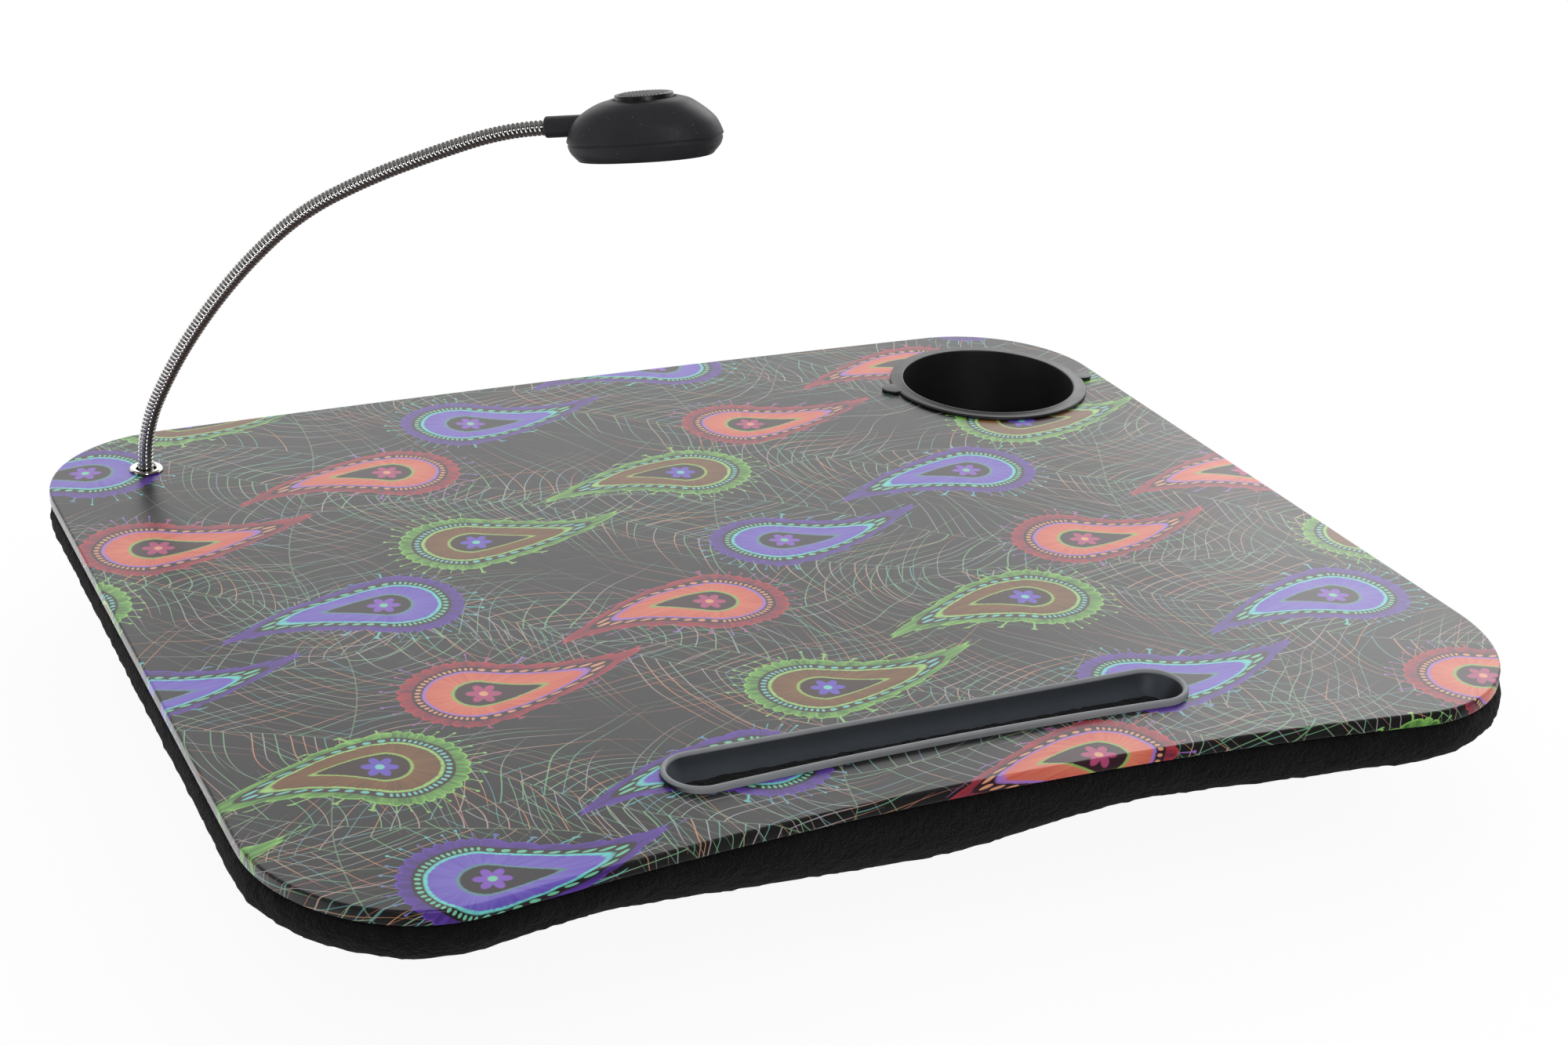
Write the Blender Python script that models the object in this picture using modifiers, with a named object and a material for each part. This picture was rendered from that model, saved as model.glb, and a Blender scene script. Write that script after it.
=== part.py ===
"""Cushioned lap tray: a film-wrapped board on a bead cushion, with a lift-out cup,
a pen groove and a small battery lamp on a wound bendable neck.

Metres, +Z up. The origin lies on the surface under the tray, below the middle of the
board's outline. +X runs to the user's right, +Y away from the user.
"""

import math

import bmesh
import bpy
from mathutils import Matrix, Vector

# Gaps and cuts
seat_gap = 0.0003
hole_gap = 0.0005
cover_gap = 0.0010
pocket_gap = 0.0020
cut_overrun = 0.002
weld_distance = 0.000001
spin_weld_distance = 0.00001
round_share = 0.3

# Board
board_width = 0.480
board_depth = 0.4068
board_thickness = 0.0055
board_edge_radius = 0.0021
board_middle_share = 0.5
front_corner_width = 0.0573
front_corner_depth = 0.0646
back_corner_radius = 0.0576
front_hollow = 0.0133
back_bulge = 0.0029
corner_steps = 8
edge_steps = 6
cushion_corner_steps = 6
cushion_edge_steps = 4

# Cushion
fabric_thickness = 0.0012
hem_width = 0.014
hem_tuck = 0.0010
cushion_wall = 0.016
cushion_proud = 0.0010
rim_proud_share = 0.9
rim_drop_share = 0.4
cushion_rounding = 0.010
cushion_drop = 0.0402
foot_cut = 0.0005
belly_centre_x = -0.032
belly_centre_y = -0.0086
belly_side_inset = 0.0132
belly_end_reach = 0.0036
belly_half_width = board_width / 2 - belly_side_inset
belly_half_depth = board_depth / 2 + belly_end_reach
belly_plan_power = 3.22
belly_drop_power = 1.77
belly_ring_shares = (0.90, 0.80, 0.69, 0.56, 0.40, 0.26, 0.145)
fill_gap = 0.0008

# Cup
cup_side_inset = 0.0566
cup_back_inset = 0.0677
cup_x = board_width / 2 - cup_side_inset
cup_y = board_depth / 2 - cup_back_inset
cup_opening_radius = 0.0391
cup_flange_width = 0.0060
cup_flange_thickness = 0.0013
cup_wall = 0.0014
cup_floor = 0.0018
cup_depth = 0.0390
cup_taper = 0.0022
cup_floor_rounding = 0.004
cup_lip_radius = 0.0016
tab_proud = 0.0062
tab_width = 0.014
tab_angles = (math.radians(172.0), math.radians(-7.0))
cup_flange_radius = cup_opening_radius + cup_flange_width

# Pen groove
pen_x = 0.0025
pen_front_inset = 0.0505
pen_y = pen_front_inset - board_depth / 2
pen_length = 0.2039
pen_width = 0.0265
pen_bow = 0.0030
pen_rim_width = 0.0033
pen_rim_height = 0.0015
pen_depth = 0.0086
pen_edge_share = 0.15
pen_trough_shares = (0.0, 0.25, 0.5, 0.72, 0.9)
pen_wall = pen_rim_height - seat_gap

# Eyelet
eyelet_bore_radius = 0.0040
eyelet_wall = 0.0005
eyelet_flange_radius = 0.0068
eyelet_flange_height = 0.0013
eyelet_washer_thickness = 0.0008
eyelet_shoulder_share = 0.45
eyelet_crown_share = 0.75
eyelet_edge_share = 0.2

# Neck
neck_side_inset = 0.0417
neck_back_inset = 0.0431
neck_x = neck_side_inset - board_width / 2
neck_y = board_depth / 2 - neck_back_inset
neck_azimuth = math.radians(-36.0)
neck_radius = 0.00315
neck_groove_radius = 0.00284
neck_root_rise = 0.0025
neck_section = 0.03075
neck_ribs = 17
neck_tail = 0.0063
neck_joint_gap = 0.00015
neck_tip_radius = 0.0006
neck_bends = tuple(map(math.radians, (24.7, 7.3, 6.4, 6.9, 13.6, 5.6, 2.9, 14.2)))
straight_bend = math.radians(0.01)

# Clamp under the board
neck_washer_radius = 0.0085
neck_washer_thickness = 0.0010
neck_nut_radius = 0.0062
neck_nut_height = 0.0040
neck_stub_past_nut = 0.0012

# Lamp head
head_length = 0.061
head_width = 0.0416
head_bottom_height = 0.0068
head_top_height = 0.0152
head_wall = 0.0016
head_roll = math.radians(-8.0)
pebble_power = 0.88
boss_roof_share = 0.62
crown_radius = 0.0122
crown_x = 0.0016
parting_gap = 0.0003
sleeve_radius = 0.0041
sleeve_reach = 0.0070
sleeve_length = 0.0147
sleeve_rise = 0.0060
bottom_ring_shares = (
    (0.0, 1.0, 1.0),
    (0.08, 1.0, 1.0),
    (0.30, 0.985, 0.99),
    (0.55, 0.95, 0.97),
    (0.80, 0.90, 0.935),
    (1.0, 0.86, 0.895),
)
# Height, size along and across from the crown's circle (0) to the full plan (1), shift to the crown
top_ring_shares = (
    (0.0, 1.0, 1.0, 0.0),
    (0.04, 1.0, 1.0, 0.0),
    (0.20, 0.954, 0.976, 0.0),
    (0.40, 0.872, 0.915, 0.0),
    (0.60, 0.715, 0.770, 0.0),
    (0.78, 0.510, 0.577, 0.19),
    (0.92, 0.290, 0.274, 0.69),
    (0.985, 0.085, 0.069, 0.94),
)

# Button and switch
button_radius = 0.0111
button_proud = 0.0020
button_travel = 0.0015
button_flange = 0.0008
button_flange_thickness = 0.0010
button_ridge_height = 0.0005
button_ridge_width = 0.0009
button_ridge_pitch = 0.0020
button_ridge_span_share = 0.86
switch_width = 0.0080
switch_height = 0.0048
plunger_radius = 0.0015
plunger_bore_radius = 0.0018
switch_floor = 0.0008

# Batteries and their cap
cell_radius = 0.0100
cell_height = 0.0032
cell_step = 0.0004
cap_radius = 0.0108
cap_end_share = 0.3762
cap_slot_width = 0.0016
cap_slot_depth = 0.0007
cap_slot_length_share = 0.6
contact_thickness = 0.0004
contact_width = 0.005
contact_length = 0.015

# Lamp inside
circuit_thickness = 0.0012
circuit_width = 0.022
circuit_neck_inset = 0.0105
circuit_far_inset = 0.0095
lens_radius = 0.0092
cap_lens_share = 0.2524
lens_flange = 0.0010
reflector_wall = 0.0008
reflector_throat_radius = 0.0058
led_radius = 0.0016
led_height = 0.0026
led_count = 4
led_tip_share = 0.7
led_ring_radius = 0.0032

# Places along the lamp head: the cap and the lens share out the length that they leave
circuit_start = circuit_neck_inset - head_length / 2
circuit_end = head_length / 2 - circuit_far_inset
head_spare = head_length - 2 * (cap_radius + lens_radius)
cell_centre_x = cap_radius - head_length / 2 + head_spare * cap_end_share
lens_centre_x = cell_centre_x + cap_radius + lens_radius + head_spare * cap_lens_share

# Screws of the lamp head
screw_x = 0.0012
screw_y = 0.0148
screw_radius = 0.0009
screw_head_radius = 0.0016
screw_head_height = 0.0010
screw_length = 0.0085
post_radius = 0.0026
post_sink = 0.0018

cushion_top = -board_thickness - seat_gap
board_top = cushion_wall + cushion_drop - foot_cut - cushion_top
pitch = neck_section / neck_ribs

film_black = (0.02, 0.018, 0.03)
knit_black = (0.012, 0.012, 0.013)
plastic_black = (0.02, 0.02, 0.022)
satin_grey = (0.35, 0.36, 0.38)
nickel = (0.62, 0.60, 0.56)
steel = (0.55, 0.55, 0.56)
bead_white = (0.85, 0.85, 0.84)
mirror_silver = (0.80, 0.80, 0.82)
lens_clear = (0.85, 0.88, 0.90)
board_green = (0.03, 0.16, 0.07)
led_yellow = (0.90, 0.85, 0.55)


def clear_scene():
    for obj in list(bpy.data.objects):
        bpy.data.objects.remove(obj, do_unlink=True)


def new_collection(name, hidden=False):
    collection = bpy.data.collections.new(name)
    bpy.context.scene.collection.children.link(collection)
    collection.hide_render = hidden
    return collection


clear_scene()
tray = new_collection("lap_tray")
cutters = new_collection("cutters", hidden=True)


def principled(name, color, roughness, metallic=0.0, alpha=1.0):
    material = bpy.data.materials.new(name)
    material.use_nodes = True
    shader = material.node_tree.nodes["Principled BSDF"]
    shader.inputs["Base Color"].default_value = (*color, 1.0)
    shader.inputs["Roughness"].default_value = roughness
    shader.inputs["Metallic"].default_value = metallic
    shader.inputs["Alpha"].default_value = alpha
    material.diffuse_color = (*color, alpha)
    return material


def frame(name, location, parent=None, rotation=(0, 0, 0)):
    empty = bpy.data.objects.new(name, None)
    empty.location = location
    empty.rotation_euler = rotation
    empty.parent = parent
    tray.objects.link(empty)
    return empty


def piece(name, data, material=None, parent=None, location=(0, 0, 0), rotation=(0, 0, 0)):
    obj = bpy.data.objects.new(name, data)
    obj.location = location
    obj.rotation_euler = rotation
    obj.parent = parent
    if material:
        obj.data.materials.append(material)
        tray.objects.link(obj)
    else:
        cutters.objects.link(obj)
        obj.hide_render = True
        obj.display_type = "WIRE"
    return obj


def mesh_from(name, build):
    """A mesh that build makes in an empty bmesh, with its faces turned outwards."""
    work = bmesh.new()
    build(work)
    bmesh.ops.recalc_face_normals(work, faces=work.faces[:])
    mesh = bpy.data.meshes.new(name)
    work.to_mesh(mesh)
    work.free()
    return mesh


def smooth(obj, angle=math.radians(35.0)):
    obj.data.shade_smooth()
    obj.data.set_sharp_from_angle(angle=angle)


def loft(rings, bottom=True, top=True):
    """Skins the rings, each a list of as many points, and caps its two ends where asked."""

    def build(work):
        rows = [[work.verts.new(point) for point in ring] for ring in rings]
        count = len(rings[0])
        for upper, lower in zip(rows, rows[1:]):
            for i in range(count):
                j = (i + 1) % count
                work.faces.new((upper[i], upper[j], lower[j], lower[i]))
        if top:
            work.faces.new(rows[0])
        if bottom:
            work.faces.new(rows[-1])

    return build


def cylinder(radius, low, high, segments=24, centre=(0, 0), radius_low=None):
    """A round bar or cone along Z between two heights."""

    def build(work):
        place = Matrix.Translation((centre[0], centre[1], (low + high) / 2))
        bmesh.ops.create_cone(
            work,
            cap_ends=True,
            segments=segments,
            radius1=radius if radius_low is None else radius_low,
            radius2=radius,
            depth=high - low,
            matrix=place,
        )

    return build


def box(low, high):
    def build(work):
        size = Vector(high) - Vector(low)
        middle = (Vector(high) + Vector(low)) / 2
        place = Matrix.Translation(middle) @ Matrix.Diagonal((*size, 1.0))
        bmesh.ops.create_cube(work, size=1.0, matrix=place)

    return build


def turned(name, profile, material, parent, steps=32, location=(0, 0, 0), closed=True):
    """Spins a profile of (radius, height) points, top to bottom down its outer side, about Z."""
    edges = [(i, i + 1) for i in range(len(profile) - 1)]
    if closed:
        edges.append((len(profile) - 1, 0))
    mesh = bpy.data.meshes.new(name)
    mesh.from_pydata([(r, 0, z) for r, z in profile], edges, [])
    obj = piece(name, mesh, material, parent, location)
    spin = obj.modifiers.new("spin", "SCREW")
    spin.steps = steps
    spin.render_steps = steps
    spin.use_merge_vertices = True
    spin.merge_threshold = spin_weld_distance
    spin.use_smooth_shade = True
    return obj


def cut(obj, cutter, operation="DIFFERENCE"):
    step = obj.modifiers.new("cut", "BOOLEAN")
    step.operation = operation
    step.object = cutter


def carve(obj, name, shape, parent, place=(0, 0, 0), rotation=(0, 0, 0), operation="DIFFERENCE"):
    """Cuts a shape out of a piece, or joins it on, and keeps the shape as a hidden helper."""
    cut(obj, piece(name, mesh_from(name, shape), None, parent, place, rotation), operation)


def solidify(obj, thickness):
    step = obj.modifiers.new("wall", "SOLIDIFY")
    step.thickness = thickness
    step.offset = -1.0
    step.use_even_offset = True


def bevel(obj, width, segments=2, angle=math.radians(40.0)):
    step = obj.modifiers.new("rounding", "BEVEL")
    step.width = width
    step.segments = segments
    step.limit_method = "ANGLE"
    step.angle_limit = angle


def curve_to_mesh(curve):
    """Replaces a curve object by a welded mesh object of the same name and place."""
    bpy.context.view_layer.update()
    graph = bpy.context.evaluated_depsgraph_get()
    mesh = bpy.data.meshes.new_from_object(curve.evaluated_get(graph))
    work = bmesh.new()
    work.from_mesh(mesh)
    bmesh.ops.remove_doubles(work, verts=work.verts[:], dist=weld_distance)
    work.to_mesh(mesh)
    work.free()
    name = curve.name
    collection = curve.users_collection[0]
    made = bpy.data.objects.new(name + "_mesh", mesh)
    made.parent = curve.parent
    made.location = curve.location
    made.rotation_euler = curve.rotation_euler
    made.hide_render = curve.hide_render
    made.display_type = curve.display_type
    collection.objects.link(made)
    bpy.data.objects.remove(curve, do_unlink=True)
    made.name = name
    return made


def flat_outline(name, points, low, high, material=None, parent=None, location=(0, 0, 0)):
    """A plate of the given outline between two heights, as a filled 2D curve made a mesh."""
    data = bpy.data.curves.new(name, "CURVE")
    data.dimensions = "2D"
    data.fill_mode = "BOTH"
    data.extrude = (high - low) / 2
    line = data.splines.new("POLY")
    line.points.add(len(points) - 1)
    for target, (x, y) in zip(line.points, points):
        target.co = (x, y, 0, 1)
    line.use_cyclic_u = True
    place = Vector(location) + Vector((0, 0, (high + low) / 2))
    return curve_to_mesh(piece(name, data, material, parent, place))


def arc(centre, radii, start, end, steps):
    """Points along an elliptical arc, both ends included."""
    made = []
    for i in range(steps + 1):
        angle = start + (end - start) * i / steps
        x = centre[0] + radii[0] * math.cos(angle)
        made.append((x, centre[1] + radii[1] * math.sin(angle)))
    return made


def board_outline(corner_steps=corner_steps, edge_steps=edge_steps):
    """The board's outline, anticlockwise from the middle of its hollow front edge."""
    half = board_width / 2
    front = -board_depth / 2
    back = board_depth / 2
    slope = 2 * front_hollow / (half - front_corner_width)
    lean = math.atan(slope * front_corner_width / front_corner_depth)
    corner = arc(
        (half - front_corner_width, front + front_corner_depth),
        (front_corner_width, front_corner_depth),
        -math.pi / 2 - lean,
        0,
        corner_steps,
    )
    reach, edge = corner[0]
    right = []
    for i in range(edge_steps):
        x = reach * i / edge_steps
        right.append((x, edge + front_hollow * (1 - (x / reach) ** 2)))
    right += corner
    reach = half - back_corner_radius
    edge = back - back_bulge
    radii = (back_corner_radius, back_corner_radius)
    right += arc((reach, edge - back_corner_radius), radii, 0, math.pi / 2, corner_steps)
    for i in range(1, edge_steps + 1):
        x = reach * (1 - i / edge_steps)
        right.append((x, edge + back_bulge * (1 - (x / reach) ** 2)))
    left = [(-x, y) for x, y in reversed(right[1:-1])]
    return right + left


def offset_outline(points, distance):
    """The outline moved outwards by the distance along its own normals."""
    moved = []
    count = len(points)
    for i, (x, y) in enumerate(points):
        before = Vector(points[i - 1])
        after = Vector(points[(i + 1) % count])
        along = (after - before).normalized()
        moved.append((x + distance * along.y, y - distance * along.x))
    return moved


def belly_drop(x, y):
    """How far the cushion's underside hangs below its wall at a place."""
    across = abs(x - belly_centre_x) / belly_half_width
    along = abs(y - belly_centre_y) / belly_half_depth
    reach = math.hypot(across, along)
    if reach >= 1:
        return 0.0
    return cushion_drop * (1 - reach**belly_plan_power) ** belly_drop_power


def cushion_rings(outline, inset, ring_shares):
    """The cushion's rings from under the board, round its wall and over its belly.

    inset draws every ring in from the fabric's face, for what lies inside it.
    """
    straight = cushion_wall - cushion_rounding
    rims = [(-hem_tuck, 0.0), (cushion_proud * rim_proud_share, straight * rim_drop_share)]
    rims.append((cushion_proud, straight))
    for step in (1, 2, 3):
        angle = step * math.pi / 6
        draw_in = cushion_rounding * (1 - math.cos(angle))
        rims.append((cushion_proud - draw_in, straight + cushion_rounding * math.sin(angle)))
    lowest = inset - board_top
    rings = []
    for offset, drop in rims:
        share = drop / cushion_wall
        ring = []
        for x, y in offset_outline(outline, offset - inset):
            depth = share * (cushion_wall + belly_drop(x, y) - inset)
            ring.append((x, y, max(cushion_top - inset * (share == 0) - depth, lowest)))
        rings.append(ring)
    edge = offset_outline(outline, cushion_proud - cushion_rounding - inset)
    for share in ring_shares:
        ring = []
        for x, y in edge:
            px = belly_centre_x + share * (x - belly_centre_x)
            py = belly_centre_y + share * (y - belly_centre_y)
            depth = cushion_wall + belly_drop(px, py) - inset
            ring.append((px, py, max(cushion_top - depth, lowest)))
        rings.append(ring)
    return rings


def make_board(level):
    outline = board_outline()
    middle = [(x * board_middle_share, y * board_middle_share, 0) for x, y in outline]
    high = [(x, y, 0) for x, y in outline]
    low = [(x, y, -board_thickness) for x, y in outline]
    film = principled("film_wrapped_board", film_black, 0.25)
    obj = piece("tray_board", mesh_from("tray_board", loft([middle, high, low])), film, level)
    bevel(obj, board_edge_radius, 3, math.radians(50.0))
    carve(obj, "cup_hole", cup_hole_shape(), level)
    cut(obj, pen_slot_cutter(level))
    hole = eyelet_bore_radius + eyelet_wall + seat_gap
    low = -board_thickness - cut_overrun
    carve(obj, "eyelet_hole", cylinder(hole, low, cut_overrun, 20, (neck_x, neck_y)), level)


def cup_hole_shape():
    radius = cup_opening_radius + cup_wall + hole_gap
    return cylinder(radius, -board_top, cut_overrun, 40, (cup_x, cup_y))


def make_cushion(level):
    outline = board_outline(cushion_corner_steps, cushion_edge_steps)
    rings = cushion_rings(outline, 0.0, belly_ring_shares)
    hem = [(x, y, cushion_top) for x, y in offset_outline(outline, -hem_width)]
    mesh = mesh_from("cushion_cover", loft([hem, *rings], top=False))
    cover = piece("cushion_cover", mesh, principled("black_knit", knit_black, 0.95), level)
    solidify(cover, fabric_thickness)
    radius = cup_opening_radius + cup_wall + cover_gap
    low = -board_top - cut_overrun
    carve(cover, "cover_hole", cylinder(radius, low, cut_overrun, 32, (cup_x, cup_y)), level)
    cover.data.shade_smooth()


def make_fill(level):
    outline = board_outline(cushion_corner_steps, cushion_edge_steps)
    rings = cushion_rings(outline, fabric_thickness + fill_gap, belly_ring_shares)
    mesh = mesh_from("bead_fill", loft(rings))
    fill = piece("bead_fill", mesh, principled("foam_beads", bead_white, 0.9), level)
    radius = cup_opening_radius + cup_wall + pocket_gap
    low = -board_top - cut_overrun
    carve(fill, "fill_cup_pocket", cylinder(radius, low, cut_overrun, 24, (cup_x, cup_y)), level)
    pocket = pen_outline(pen_rim_width - pen_wall - cover_gap, 4)
    low = -pen_depth - pen_wall - cover_gap
    place = (pen_x, pen_y, 0)
    cut(fill, flat_outline("fill_pen_pocket", pocket, low, cut_overrun, None, level, place))
    radius = neck_washer_radius + cover_gap
    low = -board_thickness - clamp_depth() - cover_gap
    carve(fill, "fill_nut_pocket", cylinder(radius, low, cut_overrun, 16, (neck_x, neck_y)), level)


def cup_profile():
    """The cup's wall, from its lip down the outside, across the floor and up the inside."""
    outer = cup_opening_radius + cup_wall
    low_outer = outer - cup_taper
    low_inner = cup_opening_radius - cup_taper
    under = seat_gap
    top = under + cup_flange_thickness
    floor = -cup_depth
    bottom = floor - cup_floor
    corner = cup_floor_rounding * round_share
    lip = cup_lip_radius * round_share
    return [
        (0, floor),
        (low_inner - cup_floor_rounding, floor),
        (low_inner - corner, floor + corner),
        (low_inner, floor + cup_floor_rounding),
        (cup_opening_radius, top - cup_lip_radius),
        (cup_opening_radius + lip, top - lip),
        (cup_opening_radius + cup_lip_radius, top),
        (cup_flange_radius - cup_flange_thickness / 2, top),
        (cup_flange_radius, top - cup_flange_thickness / 2),
        (cup_flange_radius - cup_flange_thickness / 3, under),
        (outer, under),
        (low_outer, bottom + cup_floor_rounding),
        (low_outer - corner, bottom + corner),
        (low_outer - cup_floor_rounding, bottom),
        (0, bottom),
    ]


def make_cup(level):
    material = principled("cup_plastic", plastic_black, 0.45)
    centre = (cup_x, cup_y, 0)
    obj = turned("cup_holder", cup_profile(), material, level, 40, centre, closed=False)
    high = seat_gap + cup_flange_thickness
    for number, angle in enumerate(tab_angles):
        reach = cup_flange_radius + tab_proud - tab_width / 2
        start = cup_flange_radius - tab_width / 3
        points = arc((reach, 0), (tab_width / 2, tab_width / 2), -math.pi / 2, math.pi / 2, 6)
        points = [(start, -tab_width / 2), *points, (start, tab_width / 2)]
        tab = flat_outline(f"tab_shape_{number}", points, seat_gap, high, None, level, centre)
        tab.rotation_euler = (0, 0, angle)
        cut(obj, tab, "UNION")


def pen_outline(inset, steps):
    """The pen groove's outline drawn in by the inset: round ends and a bowed near edge."""
    radius = pen_width / 2 - inset
    reach = (pen_length - pen_width) / 2
    points = arc((reach, 0), (radius, radius), -math.pi / 2, math.pi / 2, 2 * steps)
    points += arc((-reach, 0), (radius, radius), math.pi / 2, 3 * math.pi / 2, 2 * steps)
    points += [(reach * (2 * i / (2 * steps) - 1), -radius) for i in range(1, 2 * steps)]
    bowed = []
    for x, y in points:
        near = max(0.0, -y / radius)
        share = max(0.0, 1 - (x / reach) ** 2)
        bowed.append((x, y + pen_bow * near * share))
    return bowed


def pen_slot_cutter(level):
    outline = pen_outline(pen_rim_width - pen_wall - hole_gap, 5)
    low = -board_thickness - cut_overrun
    return flat_outline("pen_slot", outline, low, cut_overrun, None, level, (pen_x, pen_y, 0))


def make_pen_tray(level):
    half = pen_width / 2 - pen_rim_width
    edge = pen_rim_width * pen_edge_share
    steps = [(0.0, pen_rim_height - edge), (edge, pen_rim_height)]
    steps += [(pen_rim_width - edge, pen_rim_height), (pen_rim_width, pen_rim_height - edge)]
    for share in pen_trough_shares:
        angle = share * math.pi / 2
        inset = pen_rim_width + half * (1 - math.cos(angle))
        steps.append((inset, -pen_depth * math.sin(angle)))
    rings = [[(x, y, z) for x, y in pen_outline(inset, 5)] for inset, z in steps]
    mesh = mesh_from("pen_tray", loft(rings, top=False))
    material = principled("pen_tray_plastic", satin_grey, 0.35)
    obj = piece("pen_tray", mesh, material, level, (pen_x, pen_y, 0))
    solidify(obj, pen_wall)
    smooth(obj)


def make_eyelet(level):
    nickel_plate = principled("nickel_plate", nickel, 0.25, 1.0)
    inner = eyelet_bore_radius
    outer = inner + eyelet_wall
    under = seat_gap
    top = eyelet_flange_height
    crest = (inner + eyelet_flange_radius) / 2
    foot = -board_thickness - seat_gap - eyelet_washer_thickness - seat_gap
    shoulder = (top - under) * eyelet_shoulder_share
    crown = under + (top - under) * eyelet_crown_share
    edge = under + (top - under) * eyelet_edge_share
    profile = [
        (crest, top),
        (eyelet_flange_radius - shoulder, crown),
        (eyelet_flange_radius, edge),
        (eyelet_flange_radius - eyelet_wall / 2, under),
        (outer, under),
        (outer, foot),
        (inner, foot),
        (inner, edge),
        (inner + shoulder, crown),
    ]
    turned("board_eyelet", profile, nickel_plate, level, 24, (neck_x, neck_y, 0))
    high = -board_thickness - seat_gap
    low = high - eyelet_washer_thickness
    shape = ring_profile(eyelet_flange_radius, outer + seat_gap, low, high)
    turned("eyelet_washer", shape, nickel_plate, level, 20, (neck_x, neck_y, 0))


def ring_profile(radius, bore, low, high):
    return [(radius, high), (radius, low), (bore, low), (bore, high)]


def clamp_depth():
    """How far the neck's clamp hangs below the board's underside."""
    eyelet = 3 * seat_gap + eyelet_washer_thickness
    return eyelet + neck_washer_thickness + neck_nut_height + 2 * seat_gap + neck_stub_past_nut


def rib_radii(length, first_tip, last_tip):
    """(distance, radius) pairs along a wound length, its tips drawn in where it bends."""
    count = max(2, round(2 * length / pitch))
    pairs = []
    for step in range(1, count):
        radius = neck_radius if step % 2 else neck_groove_radius
        pairs.append((length * step / count, radius))
    if first_tip:
        pairs.insert(0, (neck_joint_gap, neck_tip_radius))
    else:
        pairs.insert(0, (0.0, neck_groove_radius))
    if last_tip:
        pairs.append((length - neck_joint_gap, neck_tip_radius))
    else:
        pairs.append((length, neck_groove_radius))
    return pairs


def wound_tube(name, pairs, place, material, parent, location=(0, 0, 0), rotation=(0, 0, 0)):
    """A tube whose ribs follow the (distance, radius) pairs along a route."""
    data = bpy.data.curves.new(name, "CURVE")
    data.dimensions = "3D"
    data.bevel_depth = neck_radius
    data.bevel_resolution = 2
    data.use_fill_caps = True
    line = data.splines.new("POLY")
    line.points.add(len(pairs) - 1)
    for target, (distance, radius) in zip(line.points, pairs):
        target.co = (*place(distance), 1)
        target.radius = radius / neck_radius
    return piece(name, data, material, parent, location, rotation)


def bent(bend):
    """The place at a distance along one neck section that bends towards +X as it rises."""

    def place(distance):
        if distance > neck_section:
            past = distance - neck_section
            x, _, z = place(neck_section)
            return (x + past * math.sin(bend), 0, z + past * math.cos(bend))
        if abs(bend) < straight_bend:
            return (0, 0, distance)
        radius = neck_section / bend
        angle = distance / radius
        return (radius * (1 - math.cos(angle)), 0, radius * math.sin(angle))

    return place


def make_neck(level):
    """The root in the eyelet and the bendable links, each hung on the one before."""
    chrome = principled("neck_steel", nickel, 0.22, 1.0)
    base = frame("neck_swivel", (neck_x, neck_y, 0), level, (0, 0, neck_azimuth))
    depth = board_thickness + clamp_depth()
    pairs = rib_radii(depth + neck_root_rise, False, True)
    wound_tube("neck_root", pairs, lambda distance: (0, 0, distance - depth), chrome, base)
    parent = base
    place = (0, 0, neck_root_rise)
    turn = (0, 0, 0)
    for number, bend in enumerate(neck_bends, start=1):
        last = number == len(neck_bends)
        pairs = rib_radii(neck_section, True, not last)
        if last:
            pairs += [(neck_section + d, r) for d, r in rib_radii(neck_tail, False, False)[1:]]
        parent = wound_tube(f"neck_link_{number}", pairs, bent(bend), chrome, parent, place, turn)
        place = bent(bend)(neck_section)
        turn = (0, bend, 0)
    mouth = frame("sleeve_mouth", place, parent, turn)
    make_clamp(base)
    return mouth


def make_clamp(base):
    zinc = principled("zinc_plate", steel, 0.35, 1.0)
    high = -board_thickness - 3 * seat_gap - eyelet_washer_thickness
    low = high - neck_washer_thickness
    bore = neck_radius + seat_gap
    turned("neck_washer", ring_profile(neck_washer_radius, bore, low, high), zinc, base, 20)
    high = low - seat_gap
    low = high - neck_nut_height
    shape = cylinder(neck_nut_radius, low, high, 6)
    nut = piece("neck_nut", mesh_from("neck_nut", shape), zinc, base)
    carve(nut, "nut_bore", cylinder(bore, low - cut_overrun, high + cut_overrun, 16), base)


def pebble(half_x, half_y, shift, height, steps=28):
    """One level of the lamp head's rounded plan, shifted along its length."""
    points = []
    for i in range(steps):
        angle = 2 * math.pi * i / steps
        cosine = math.cos(angle)
        sine = math.sin(angle)
        x = abs(cosine) ** pebble_power * math.copysign(half_x, cosine)
        y = abs(sine) ** pebble_power * math.copysign(half_y, sine)
        points.append((x + shift, y, height))
    return points


def crown_circle(radius, steps=28):
    plan = arc((crown_x, 0), (radius, radius), 0, 2 * math.pi, steps)[:-1]
    return [(x, y, head_top_height) for x, y in plan]


def floor_level():
    """Height of the inside face of the lamp head's bottom, from the parting line."""
    return -head_bottom_height + head_wall


def circuit_low():
    """Height of the circuit board's underside, over the cells and their contact."""
    cells = 2 * (seat_gap + cell_height)
    return floor_level() + cells + seat_gap + contact_thickness + seat_gap


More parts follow.
